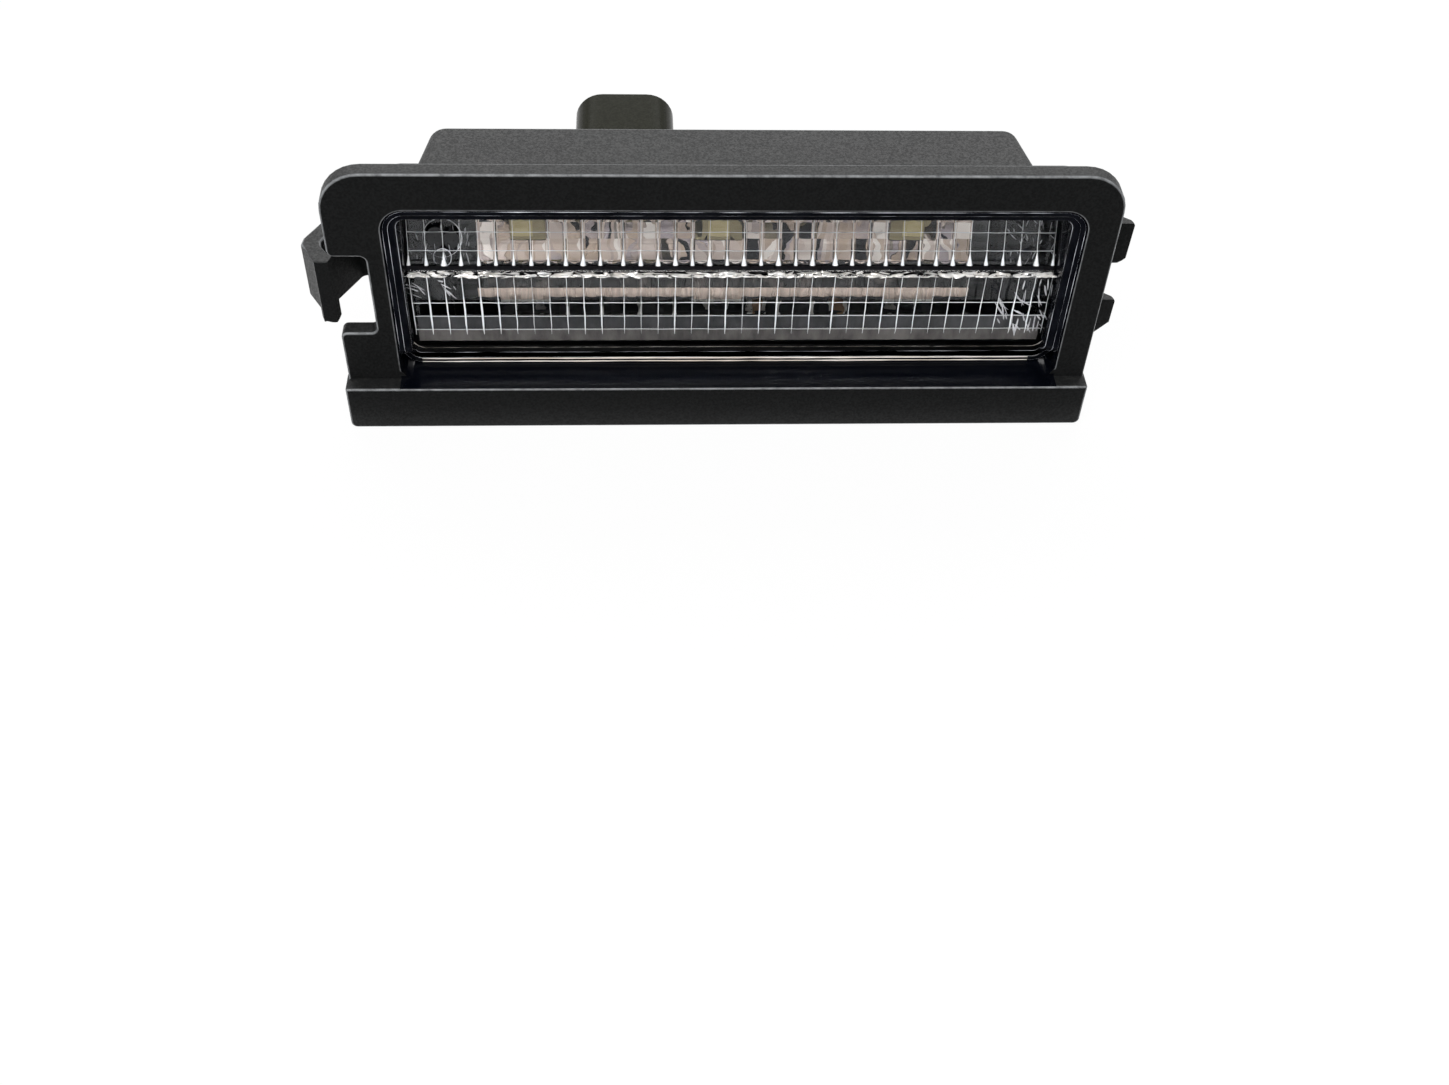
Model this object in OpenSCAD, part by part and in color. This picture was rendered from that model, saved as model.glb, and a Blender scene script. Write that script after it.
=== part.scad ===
// Number plate lamp that clips into a body panel.
// X runs across the car, +Y goes into the panel and +Z is up.
// The origin is the middle of the flange's foot, on the face that seats on the panel.

/* [Flange] */
// Width of the flange
flange_w = 82; // [80:0.5:92]
// Height of the flange, from its foot to its top edge
flange_h = 32.1; // [31:0.1:36]
// Thickness of the flange
flange_t = 2.05; // [1.6:0.05:2.6]
// Radius of the two upper corners
flange_r = 4.5; // [2:0.25:6]
// Radius of the small corners at the foot and the lobes
lobe_r = 0.7; // [0.3:0.1:1.2]

/* [Bar] */
// Width of the bar along the foot
bar_w = 82.4; // [80.5:0.1:92]
// Height of the bar, which is also the sill of the window
bar_h = 5.6; // [5:0.1:7]
// How far the bar stands in front of the flange
bar_proud = 1.9; // [1:0.1:3]

/* [Window] */
// Width of the window
win_w = 72.6; // [70:0.1:74]
// Height of the window
win_h = 22.1; // [21.6:0.1:23]
// Sideways offset of the window from the middle of the flange
win_off = 1.2; // [0:0.1:1.5]
// Radius of the window's upper corners
win_r = 2.5; // [1.5:0.25:3.5]
// Radius of the window's lower corners
sill_r = 1.3; // [0.5:0.1:2]
// Wall of the pocket that holds the lens
pocket_wall = 1.2; // [0.9:0.1:1.4]

/* [Lens] */
// Gap between the lens and the window's walls
lens_gap = 0.1; // [0.05:0.01:0.2]
// Depth of the lens rim behind the face of the flange
lens_recess = 2.8; // [2.2:0.1:3.2]
// Thickness of the lens
lens_t = 2.2; // [1.8:0.1:2.6]
// How far the optic field stands in front of the rim
field_proud = 0.7; // [0.4:0.05:1]
// Bevel along the top of the lens, at the back
lens_bevel = 0.9; // [0.6:0.1:1.2]
// Width of the plain rim beside the optic field
rim_w = 0.75; // [0.5:0.05:1.2]
// Height of the plain rim below the optic field
rim_foot = 2.2; // [1.8:0.1:2.6]
// Width of the plain border round the lines
border = 0.95; // [0.6:0.05:1.4]
// Height of the crease above the foot of the flange
crease_z = 18; // [17:0.1:19]
// Depth of the ledge at the crease
crease_d = 0.8; // [0.4:0.1:1]
// Lean of the upper field, in degrees back from upright
field_lean = 22; // [16:1:24]
// Length of the upper field along its slope, with its border
field_len = 6; // [5.4:0.1:6.4]
// Spacing of the lines across the lens
pitch = 1.84; // [1.6:0.02:2.4]
// Width of the two plain strips between the fields
strip_w = 2.45; // [2:0.05:3]
// Width of a line
line_w = 0.16; // [0.1:0.02:0.3]
// Depth of a line
line_d = 0.16; // [0.1:0.02:0.3]
// Thickness of the sealing bead behind the lens
seal_t = 0.3; // [0.2:0.05:0.5]
// Width of the sealing bead
seal_w = 1.4; // [1:0.1:1.6]

/* [Box] */
// Width of the box where it leaves the flange
box_w = 66; // [64:0.5:68]
// Sideways offset of the box from the middle of the flange
box_off = 0.4; // [0:0.1:1]
// How far the top of the box lies below the top of the flange
box_drop = 2.2; // [1.8:0.1:2.4]
// Depth of the box behind the flange
box_d = 9.75; // [9.5:0.05:12]
// Lean of the side walls, in degrees
box_draft = 10; // [6:1:12]
// Radius of the edges along the box
box_r = 2; // [1:0.25:2.5]
// Wall of the box
box_wall = 1.9; // [1.6:0.1:2.2]
// Step that the rear cover seats on
rebate = 0.7; // [0.5:0.1:0.9]

/* [Rear cover] */
// Thickness of the rear cover
cover_t = 1.2; // [1:0.1:1.4]
// Gap round the rear cover
cover_gap = 0.1; // [0.05:0.01:0.2]
// Width of the connector shroud
shroud_w = 10.9; // [9.8:0.1:12]
// Height of the connector shroud
shroud_h = 9.5; // [8.6:0.1:10]
// Length of the connector shroud behind the cover
shroud_len = 12.3; // [11.5:0.1:15]
// Wall of the connector shroud
shroud_wall = 1.2; // [0.9:0.1:1.3]
// Sideways place of the connector shroud
shroud_x = -10.4; // [-12:0.1:-9]
// Height of the top of the shroud below the top of the box
shroud_drop = 3.4; // [3:0.1:4]
// Radius of the shroud's upper corners
shroud_r = 3; // [2:0.25:3.5]

/* [Terminals] */
// Width of a terminal blade
blade_w = 1.5; // [1:0.1:1.8]
// Thickness of a terminal blade
blade_t = 0.6; // [0.4:0.1:0.8]
// Distance between the two blades
blade_pitch = 4; // [3.6:0.1:4.4]
// Gap between the blade tips and the mouth of the shroud
blade_back = 5.2; // [4.6:0.1:6]
// Gap round a blade in its slot
blade_gap = 0.1; // [0.05:0.01:0.15]

/* [Board] */
// Thickness of the circuit board
board_t = 1; // [0.8:0.1:1.1]
// Gap between the board and the walls
board_gap = 0.2; // [0.1:0.05:0.4]
// Space behind the board for the screw heads
board_back = 1.05; // [1:0.05:1.1]
// Radius of the screw bosses
boss_r = 2.4; // [2.1:0.1:2.6]
// Radius of a screw's shank
screw_r = 0.8; // [0.6:0.05:0.9]
// Length of a screw under its head
screw_len = 2.8; // [2.2:0.1:3]
// Radius of a screw's head
head_r = 1.7; // [1.4:0.1:1.9]
// Height of a screw's head
head_h = 0.85; // [0.7:0.05:0.9]

/* [Light sources] */
// Distance between the light sources
led_pitch = 21; // [20:0.5:23]
// Height of the light sources above the foot of the flange
led_z = 20.2; // [19.6:0.1:20.8]
// Width of a light source
led_w = 3.8; // [3:0.1:4.4]
// Height of a light source
led_h = 2.8; // [2.2:0.1:3.2]
// Thickness of a light source
led_t = 0.75; // [0.6:0.05:0.9]
// White wall round the yellow window of a light source
led_wall = 0.4; // [0.3:0.05:0.5]

/* [Reflector] */
// Thickness of the reflector's walls
refl_t = 0.7; // [0.5:0.05:0.8]
// Gap between the ends of the reflector and the walls of the box
refl_end = 2.4; // [1:0.1:4]
// Height of the reflector's upright wall
refl_h = 5.4; // [5:0.1:5.8]
// Forward reach of the reflector's apron
refl_reach = 2.4; // [1.8:0.1:2.6]
// Fall of the reflector's apron
refl_fall = 3.2; // [2.6:0.1:3.6]
// Height of the reflector's lip
lip_h = 1.3; // [1:0.1:1.8]

/* [Latch] */
// Height of the latch's top above the foot of the flange
latch_top = 20.8; // [20:0.1:21.4]
// Height of the latch arm
arm_h = 8.8; // [8:0.1:9.4]
// Height of the latch's nose
nose_h = 6.7; // [6:0.1:7.4]
// Height of the release finger
finger_h = 8; // [7:0.1:8.8]
// Thickness of the latch arm
arm_t = 1.9; // [1.6:0.05:2.1]
// Reach of the nose beyond the flange's side
nose_out = 3.4; // [3:0.1:4]
// Gap between the flange and the tip of the nose, for the panel
nose_gap = 1.9; // [1.5:0.1:2.2]
// Depth of the notch in the flange's side
notch_d = 3.9; // [3.4:0.1:4]
// Height of the notch's foot
notch_z = 12; // [11.5:0.1:12.2]
// Height of the notch
notch_h = 10.05; // [9.8:0.05:10.5]

/* [Lugs] */
// Reach of the lugs beyond the flange's side
lug_out = 2.75; // [2:0.05:3.5]
// Gap between the flange and the lugs, for the panel
lug_gap = 1.55; // [1:0.05:2]
// Thickness of the lugs
lug_t = 1.8; // [1.4:0.1:2.2]
// Height of each lug
lug_h = 5.3; // [4.5:0.1:5.6]
// Height of the lower lug's foot
lug_low_z = 8.3; // [8:0.1:8.8]
// Height of the upper lug's foot
lug_high_z = 18.5; // [18:0.1:19]

/* [Hidden] */
$fn = 48;
eps = 0.01;

// Window and lens, across and up
win_x0 = win_off - win_w / 2;
win_x1 = win_off + win_w / 2;
win_z0 = bar_h;
win_z1 = bar_h + win_h;
lens_x0 = win_x0 + lens_gap;
lens_x1 = win_x1 - lens_gap;
lens_z0 = win_z0 + lens_gap;
lens_z1 = win_z1 - lens_gap;

// Lens, front to back
rim_y = lens_recess - flange_t;
field_y = rim_y - field_proud;
lens_back = rim_y + lens_t;
lean_y = field_len * sin(field_lean);
lean_z = field_len * cos(field_lean);
crease_y = field_y + crease_d;
upper_y = crease_y + lean_y;
upper_z = crease_z + lean_z;
field_x0 = lens_x0 + rim_w;
field_x1 = lens_x1 - rim_w;
field_z0 = lens_z0 + rim_foot;
grid_x0 = field_x0 + border;
grid_x1 = field_x1 - border;
seat_y = lens_back + seal_t;
lens_deep = upper_y + lens_t;
pocket_deep = lens_deep + seal_t + pocket_wall;

// Box and what it holds
box_z0 = win_z0 - pocket_wall;
box_z1 = flange_h - box_drop;
box_in = box_d * tan(box_draft);
back_x0 = box_off - box_w / 2 + box_in;
back_x1 = box_off + box_w / 2 - box_in;
cavity_x0 = back_x0 + box_wall;
cavity_x1 = back_x1 - box_wall;
cavity_z0 = box_z0 + box_wall;
cavity_z1 = box_z1 - box_wall;
cover_y = box_d - cover_t;
board_y1 = cover_y - board_back;
board_y0 = board_y1 - board_t;
board_x0 = cavity_x0 + board_gap;
board_x1 = cavity_x1 - board_gap;
board_z0 = cavity_z0 + board_gap;
board_z1 = cavity_z1 - board_gap;
ledge_w = seal_w + 0.1;
aperture_z0 = lens_z0 + ledge_w;
aperture_z1 = lens_z1 - ledge_w;
boss_in = boss_r - 0.6;
boss_z = aperture_z0 + boss_in;
boss_x = [cavity_x0 + boss_in, cavity_x1 - boss_in];
boss_y0 = seat_y + 0.1;
screw_hole_r = screw_r + 0.05;
board_hole_r = screw_r + 0.3;

// Connector
shroud_z1 = box_z1 - shroud_drop;
shroud_z0 = shroud_z1 - shroud_h;
shroud_zc = (shroud_z0 + shroud_z1) / 2;
shroud_end = box_d + shroud_len;
blade_x = [shroud_x - blade_pitch / 2, shroud_x + blade_pitch / 2];
blade_taper = 0.6;
carrier_edge = 1.7;
carrier_h = 2.8;
catch_w = 3;
catch_out = 0.9;
vent_x = box_off + led_pitch * 0.7;
vent_z = shroud_zc - 4;
vent_r = 3.2;
vent_hole_r = 0.8;
patch_t = 0.2;

// Light sources and small parts
led_x = [for (i = [-1:1]) box_off - 0.7 + i * led_pitch];
led_y = board_y0 - led_t;
chip_z = board_z0 + 4;
refl_x0 = cavity_x0 + refl_end;
refl_x1 = cavity_x1 - refl_end;
refl_z1 = led_z + refl_h * 0.6;
refl_z0 = refl_z1 - refl_h;
peg_r = 0.6;
peg_inset = 2.2;
peg_gap = 0.1;
led_gap = 0.15;
tab_w = 1.4 * led_w;
tab_h = 0.8;

// Latch and lugs
side_x = flange_w / 2;
latch_z0 = latch_top - arm_h;
nose_x = -side_x - nose_out;
nose_tip_r = 0.5;
nose_slope = 1.12;
finger_x0 = nose_x + 1.5;
finger_x1 = nose_x + 3.5;
finger_y = -flange_t + 0.87;
finger_cheek = 1.43;
arm_bend_r = 0.8;
lug_rake = 1.9;
lug_tip_r = 0.3;

function unit(v) = v / norm(v);
function wrapped(a) = a > 180 ? a - 360 : a < -180 ? a + 360 : a;

// The points of one rounded corner at b, between its neighbours a and c
function corner(a, b, c, r, n) =
    let (u = unit(a - b), w = unit(c - b), half = acos(u * w) / 2)
    let (mid = b + unit(u + w) * r / sin(half), p = b + u * r / tan(half) - mid)
    let (q = b + w * r / tan(half) - mid, start = atan2(p.y, p.x))
    let (sweep = wrapped(atan2(q.y, q.x) - start))
    [for (i = [0:n]) mid + r * [cos(start + sweep * i / n), sin(start + sweep * i / n)]];

// An outline whose corners are [x, y, radius]
function rounded(c, n = 8) =
    let (m = len(c))
    [for (i = [0:m - 1])
        let (a = c[(i + m - 1) % m], b = c[i], d = c[(i + 1) % m])
        each b.z == 0 ? [[b.x, b.y]] : corner([a.x, a.y], [b.x, b.y], [d.x, d.y], b.z, n)];

function rounded_box(x0, z0, x1, z1, foot_r, head_r) = rounded(
    [[x0, z0, foot_r], [x1, z0, foot_r], [x1, z1, head_r], [x0, z1, head_r]]);

// A front view outline, from y0 back to y1
module upright(points, y0, y1) {
    translate([0, y1, 0])
        rotate([90, 0, 0])
            linear_extrude(y1 - y0)
                polygon(points);
}

// A section in Y and Z, from x0 across to x1
module section(points, x0, x1) {
    translate([x0, 0, 0])
        rotate([90, 0, 90])
            linear_extrude(x1 - x0)
                polygon(points);
}

// A plan outline, from z0 up to z1
module plan(points, z0, z1) {
    translate([0, 0, z0])
        linear_extrude(z1 - z0)
            polygon(points);
}

module block(x0, y0, z0, x1, y1, z1) {
    translate([x0, y0, z0])
        cube([x1 - x0, y1 - y0, z1 - z0]);
}

// A cylinder along Y, from y0 back to y1
module rod(x, z, r, y0, y1) {
    translate([x, y1, z])
        rotate([90, 0, 0])
            cylinder(r = r, h = y1 - y0);
}

flange_outline = rounded([
    [-side_x, 0, lobe_r],
    [side_x, 0, lobe_r],
    [side_x, flange_h, flange_r],
    [-side_x, flange_h, flange_r],
    [-side_x, notch_z + notch_h, lobe_r],
    [-side_x + notch_d, notch_z + notch_h, lobe_r],
    [-side_x + notch_d, notch_z, lobe_r],
    [-side_x, notch_z, lobe_r]
]);

// The lens from behind: upright below the crease, then leaning back, with a bevelled top
function back_profile(gap, z0, z1, bevel) = [
    [lens_back + gap, z0],
    [lens_back + gap, crease_z],
    [lens_deep + gap, upper_z],
    [lens_deep + gap, z1 - bevel],
    [lens_deep + gap - bevel, z1]
];

// The space for the lens and its sealing bead, open to the front
module lens_space(grow, gap, front) {
    intersection() {
        section(
            concat(
                [[front, win_z0 - grow]],
                back_profile(gap, win_z0 - grow, win_z1 + grow, lens_bevel + grow),
                [[front, win_z1 + grow]]),
            win_x0 - grow, win_x1 + grow);
        upright(
            rounded_box(win_x0 - grow, win_z0 - grow, win_x1 + grow, win_z1 + grow,
                sill_r + grow, win_r + grow),
            front, pocket_deep + 1);
    }
}

module box_outer() {
    hull() {
        upright(
            rounded_box(back_x0 - box_in, box_z0, back_x1 + box_in, box_z1, box_r, box_r),
            -flange_t / 2, eps);
        upright(
            rounded_box(back_x0, box_z0, back_x1, box_z1, box_r, box_r),
            box_d - eps, box_d);
    }
}

// The arm in plan: from its root on the box back to the neck of the nose
lean = unit([0.47, 0.88]);
across = [lean.y, -lean.x];
outer = [nose_x + 0.16, nose_gap + nose_slope];
neck = outer + arm_t * across + 0.92 * lean;
root_x = back_x0 + 0.7;
root_y = box_d - arm_t;
bend = neck + lean * (root_y - neck.y) / lean.y;
outer_bend = outer + lean * (box_d - outer.y) / lean.y;
front_neck = neck - [0.2, 0.62];
arm_plan = rounded([
    [front_neck.x, front_neck.y, 0],
    [neck.x, neck.y, 0],
    [bend.x, bend.y, arm_bend_r],
    [root_x, root_y, 0],
    [root_x, box_d, 0],
    [outer_bend.x, box_d, arm_bend_r + 1.2],
    [outer.x + 0.6, outer.y + nose_slope, 0]
]);

// The nose in plan: it joins the arm to the release finger and catches the panel
nose_plan = rounded([
    [finger_x0, finger_y + 0.6, 0],
    [finger_x1 - 0.44, finger_y + finger_cheek, 0],
    [neck.x, neck.y - 1.55, 0],
    [front_neck.x, front_neck.y, 0.3],
    [neck.x, neck.y, 0],
    [neck.x + 0.9, neck.y + 1.69, 0],
    [outer.x + 1.07, outer.y + 2, 0],
    [outer.x, outer.y, nose_tip_r],
    [nose_x, nose_gap, nose_tip_r]
]);
finger_plan = [
    [finger_x0, finger_y + 0.6],
    [finger_x0 + 0.27, finger_y],
    [finger_x1 - 0.36, finger_y],
    [finger_x1, finger_y + 0.9],
    [finger_x1 - 0.44, finger_y + finger_cheek],
    [finger_x0 + 0.8, finger_y + 2.4]
];

module latch() {
    plan(arm_plan, latch_z0, latch_top);
    plan(nose_plan, latch_top - nose_h, latch_top);
    intersection() {
        plan(finger_plan, latch_top - finger_h, latch_top);
        upright(
            rounded_box(
                finger_x0 - 0.05, latch_top - finger_h, finger_x1 + 0.05, latch_top, lobe_r, 0.15),
            finger_y - 1, finger_y + 3);
    }
}

// A hook of the fixed side, with its lower corner cut back by cut
module lug(z0, cut) {
    y1 = lug_gap + lug_t;
    tip = side_x + lug_out;
    intersection() {
        plan([
            [win_x1 + pocket_wall / 2, lug_gap],
            [tip, lug_gap],
            [tip - 0.35, lug_gap + 0.65],
            [tip - lug_rake, y1],
            [win_x1 + pocket_wall / 2, y1]
        ], z0 - 1, z0 + lug_h + 1);
        upright(rounded([
            [win_x1, z0, 0],
            [tip - cut, z0, lug_tip_r],
            [tip - 0.1, z0 + cut, lug_tip_r],
            [tip, z0 + lug_h, lug_tip_r],
            [win_x1, z0 + lug_h, 0]
        ]), 0, y1 + 1);
    }
}

module housing() {
    color("#252625")
    difference() {
        union() {
            upright(flange_outline, -flange_t, 0);
            upright(
                rounded_box(-bar_w / 2, 0, bar_w / 2, bar_h, lobe_r, 0.2),
                -flange_t - bar_proud, -flange_t / 2);
            lens_space(pocket_wall, seal_t + pocket_wall, -flange_t / 2);
            box_outer();
            latch();
            lug(lug_low_z, 2);
            lug(lug_high_z, 0.8);
        }
        lens_space(0, seal_t, -flange_t - bar_proud - 1);
        block(cavity_x0, seat_y - 1, aperture_z0, cavity_x1, board_y0, aperture_z1);
        block(cavity_x0, board_y0 - eps, cavity_z0, cavity_x1, cover_y + eps, cavity_z1);
        block(
            cavity_x0 - rebate, cover_y, cavity_z0 - rebate,
            cavity_x1 + rebate, box_d + 1, cavity_z1 + rebate);
        ledge_eye();
    }
    color("#252625")
    difference() {
        intersection() {
            union()
                for (x = boss_x)
                    rod(x, boss_z, boss_r, boss_y0, board_y0);
            block(
                cavity_x0 - eps, boss_y0, aperture_z0 - eps,
                cavity_x1 + eps, board_y0, aperture_z1);
        }
        for (x = boss_x)
            rod(x, boss_z, screw_hole_r, board_y1 - screw_len - 0.3, board_y0 + 1);
    }
}

// A round sink with a blind hole in the ledge at the left end of the lens
module ledge_eye() {
    eye_x = (cavity_x0 + win_x0) / 2 + 1.2;
    eye_z = crease_z - 1;
    rod(eye_x, eye_z, 1.9, seat_y - 1, seat_y + 0.4);
    rod(eye_x, eye_z, 0.85, seat_y - 1, seat_y + 0.9);
}

// Columns of the optic field, as the places of their edges
left_cols = floor(((led_x[0] + led_x[1] - strip_w) / 2 - grid_x0) / pitch);
mid_cols = floor((led_pitch - strip_w) / pitch) + 1;
split_1 = grid_x0 + left_cols * pitch;
split_2 = split_1 + strip_w + mid_cols * pitch;
right_w = grid_x1 - split_2 - strip_w;
right_cols = ceil(right_w / pitch);
column_x = concat(
    [for (i = [0:left_cols]) grid_x0 + i * pitch],
    [for (i = [0:mid_cols]) split_1 + strip_w + i * pitch],
    [for (i = [0:right_cols]) split_2 + strip_w + i * right_w / right_cols]);
low_rows = round((crease_z - field_z0 - border) / pitch);
row_h = (crease_z - field_z0 - border) / low_rows;
low_row_z = [for (i = [0:low_rows - 1]) field_z0 + border + i * row_h];
high_rows = floor((field_len - border) / pitch) + 1;
high_row_s = [for (i = [0:high_rows]) 0.4 + i * (field_len - border - 0.4) / high_rows];

// The field's front from the foot up: upright, ledge, leaning
field_front = [
    [rim_y, field_z0 - 0.5],
    [field_y, field_z0],
    [field_y, crease_z],
    [crease_y, crease_z],
    [upper_y, upper_z]
];

// The cutter of one upright line, sunk below the front by line_d
module upright_line(x) {
    x0 = x - line_w / 2;
    x1 = x + line_w / 2;
    block(x0, field_y - 1, field_z0 + border, x1, field_y + line_d, crease_z + 1);
    translate([0, crease_y, crease_z])
        rotate([-field_lean, 0, 0])
            block(x0, -1, 0, x1, line_d, field_len - border);
}

// Clear lens with a raised optic field that bends back above the crease
module lens() {
    color([0.9, 0.93, 0.96, 0.35])
    difference() {
        union() {
            intersection() {
                section(concat(
                    [[rim_y, lens_z0], [rim_y, crease_z], [upper_y, upper_z], [upper_y, lens_z1]],
                    [for (i = [4:-1:0]) back_profile(0, lens_z0, lens_z1, lens_bevel)[i]]),
                    lens_x0, lens_x1);
                upright(
                    rounded_box(lens_x0, lens_z0, lens_x1, lens_z1, sill_r - lens_gap, win_r - lens_gap),
                    field_y - 1, lens_deep + 1);
            }
            section(
                concat(field_front, [[upper_y + 0.8, upper_z], [lens_back - 0.5, crease_z],
                    [lens_back - 0.5, field_z0 - 0.5]]),
                field_x0, field_x1);
        }
        for (x = column_x)
            upright_line(x);
        for (z = low_row_z)
            block(grid_x0, field_y - 1, z - line_w / 2, grid_x1, field_y + line_d, z + line_w / 2);
        translate([0, crease_y, crease_z])
            rotate([-field_lean, 0, 0])
                for (s = high_row_s)
                    block(grid_x0, -1, s - line_w / 2, grid_x1, line_d, s + line_w / 2);
    }
}

// Bead that seals the lens to its ledge
module lens_seal() {
    color("#3b3b3d")
    difference() {
        intersection() {
            section(concat(
                back_profile(0, lens_z0, lens_z1, lens_bevel),
                [for (i = [4:-1:0]) back_profile(seal_t, lens_z0, lens_z1, lens_bevel)[i]]),
                lens_x0, lens_x1);
            upright(
                rounded_box(lens_x0, lens_z0, lens_x1, lens_z1, sill_r - lens_gap, win_r - lens_gap),
                rim_y, pocket_deep);
        }
        upright(
            rounded_box(
                lens_x0 + seal_w, lens_z0 + seal_w, lens_x1 - seal_w, lens_z1 - seal_w, 0.5, 0.5),
            rim_y, pocket_deep + 1);
    }
}

// Back of the lamp, moulded with the shroud of its connector
module rear_cover() {
    wall = shroud_wall;
    color("#3a3b34")
    difference() {
        union() {
            upright(
                rounded_box(
                    cavity_x0 - rebate + cover_gap, cavity_z0 - rebate + cover_gap,
                    cavity_x1 + rebate - cover_gap, cavity_z1 + rebate - cover_gap, 0.3, 0.3),
                cover_y, box_d);
            upright(
                rounded_box(
                    shroud_x - shroud_w / 2, shroud_z0, shroud_x + shroud_w / 2, shroud_z1,
                    1, shroud_r),
                box_d - eps, shroud_end);
            section([
                [shroud_end - 4 * catch_out, shroud_z0 + eps],
                [shroud_end - 4 * catch_out, shroud_z0 - catch_out],
                [shroud_end - catch_out, shroud_z0 + eps]
            ], shroud_x - catch_w / 2, shroud_x + catch_w / 2);
        }
        upright(
            rounded_box(
                shroud_x - shroud_w / 2 + wall, shroud_z0 + wall,
                shroud_x + shroud_w / 2 - wall, shroud_z1 - wall, 0.4, shroud_r - wall),
            box_d, shroud_end + 1);
        for (x = blade_x)
            block(
                x - blade_w / 2 - blade_gap, cover_y - 1, shroud_zc - blade_t / 2 - blade_gap,
                x + blade_w / 2 + blade_gap, box_d + 1, shroud_zc + blade_t / 2 + blade_gap);
        rod(vent_x, vent_z, vent_hole_r, cover_y - 1, box_d + 1);
    }
}

// Round patch that lets the lamp breathe and keeps water out
module vent_patch() {
    color("#b9bcc0")
    rod(vent_x, vent_z, vent_r, box_d, box_d + patch_t);
}

module circuit_board() {
    color("#1d3a2a")
    difference() {
        block(board_x0, board_y0, board_z0, board_x1, board_y1, board_z1);
        for (x = boss_x)
            rod(x, boss_z, board_hole_r, board_y0 - 1, board_y1 + 1);
        for (x = blade_x)
            block(
                x - blade_w / 2 - blade_gap, board_y0 - 1, shroud_zc - blade_t / 2 - blade_gap,
                x + blade_w / 2 + blade_gap, board_y1 + 1, shroud_zc + blade_t / 2 + blade_gap);
        for (x = [refl_x0 + peg_inset, refl_x1 - peg_inset])
            rod(x, led_z, peg_r + peg_gap, board_y0 - 1, board_y1 + 1);
    }
}

// Two pan-head screws that hold the board to the housing's bosses
module board_screws() {
    color("#8d9195")
    for (x = boss_x)
        difference() {
            union() {
                rod(x, boss_z, screw_r, board_y1 - screw_len, board_y1 + 0.2);
                rod(x, boss_z, head_r, board_y1, board_y1 + head_h);
            }
            for (turn = [0, 90])
                translate([x, board_y1 + head_h, boss_z])
                    rotate([0, turn, 0])
                        cube([head_r * 1.1, 0.8, 0.4], center = true);
        }
}

// Bright shelf behind the lens, with a window for each light source
module reflector() {
    y1 = board_y0;
    y0 = y1 - refl_t;
    front = y0 - refl_reach;
    color("#b7a79b")
    difference() {
        union() {
            section([
                [y1, refl_z1],
                [y0, refl_z1],
                [y0, refl_z0],
                [front, refl_z0 - refl_fall],
                [front, refl_z0 - refl_fall - lip_h],
                [front + refl_t, refl_z0 - refl_fall - lip_h],
                [front + refl_t, refl_z0 - refl_fall - 0.2],
                [y1, refl_z0 - 0.4]
            ], refl_x0, refl_x1);
            for (x = led_x)
                block(
                    x - tab_w / 2, front, refl_z0 - refl_fall - lip_h - tab_h,
                    x + tab_w / 2, front + refl_t, refl_z0 - refl_fall - lip_h + eps);
            for (x = [refl_x0 + peg_inset, refl_x1 - peg_inset])
                rod(x, led_z, peg_r, y1 - 0.2, board_y1);
        }
        for (x = led_x)
            block(
                x - led_w / 2 - led_gap, y0 - 1, led_z - led_h / 2 - led_gap,
                x + led_w / 2 + led_gap, y1 + 1, led_z + led_h / 2 + led_gap);
    }
}

module led_body(i) {
    x = led_x[i - 1];
    color("#e9e7df")
    difference() {
        block(x - led_w / 2, led_y, led_z - led_h / 2, x + led_w / 2, board_y0, led_z + led_h / 2);
        block(
            x - led_w / 2 + led_wall, led_y - 1, led_z - led_h / 2 + led_wall,
            x + led_w / 2 - led_wall, led_y + led_t / 2, led_z + led_h / 2 - led_wall);
    }
}

module led_phosphor(i) {
    x = led_x[i - 1];
    color("#e3c33c")
    block(
        x - led_w / 2 + led_wall, led_y + 0.05, led_z - led_h / 2 + led_wall,
        x + led_w / 2 - led_wall, led_y + led_t / 2, led_z + led_h / 2 - led_wall);
}

// A chip part on the board, with a metal cap at each end of its body
module chip(x, w, h, t, cap, body_h) {
    block(x - w / 2 + cap, board_y0 - t, chip_z - body_h / 2, x + w / 2 - cap, board_y0, chip_z + body_h / 2);
    for (side = [-1, 1])
        translate([x + side * (w / 2 - cap / 2), board_y0 - t / 2, chip_z])
            cube([cap + eps, t, h], center = true);
}

module resistor(i) {
    color("#1b1b1d")
    chip(led_x[i - 1], 3.2, 1.6, 0.55, 0.5, 1.5);
}

module diode() {
    color("#202022")
    chip(led_x[0] + led_pitch * 0.3, 4.4, 1.5, 2, 0.6, 2.6);
}

module surge_suppressor() {
    color("#202022")
    chip(led_x[0] + led_pitch * 0.68, 4.6, 2, 2.2, 0.6, 3.4);
}

module capacitor(i) {
    color("#b08a5e")
    chip(led_x[1] + led_pitch * (0.22 + 0.42 * (i - 1)), 2, 1.25, 1, 0.4, 1.15);
}

module driver_chip() {
    color("#17181a")
    chip(led_x[1] + led_pitch * 0.42, 4.5, 1.8, 1.4, 0.7, 2.5);
}

// Block that holds the two blades behind the board
module terminal_carrier() {
    color("#d8d2c0")
    difference() {
        block(
            blade_x[0] - carrier_edge, board_y1, shroud_zc - carrier_h / 2,
            blade_x[1] + carrier_edge, cover_y - 0.05, shroud_zc + carrier_h / 2);
        for (x = blade_x)
            block(
                x - blade_w / 2, board_y1 - 1, shroud_zc - blade_t / 2,
                x + blade_w / 2, cover_y + 1, shroud_zc + blade_t / 2);
    }
}

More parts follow.
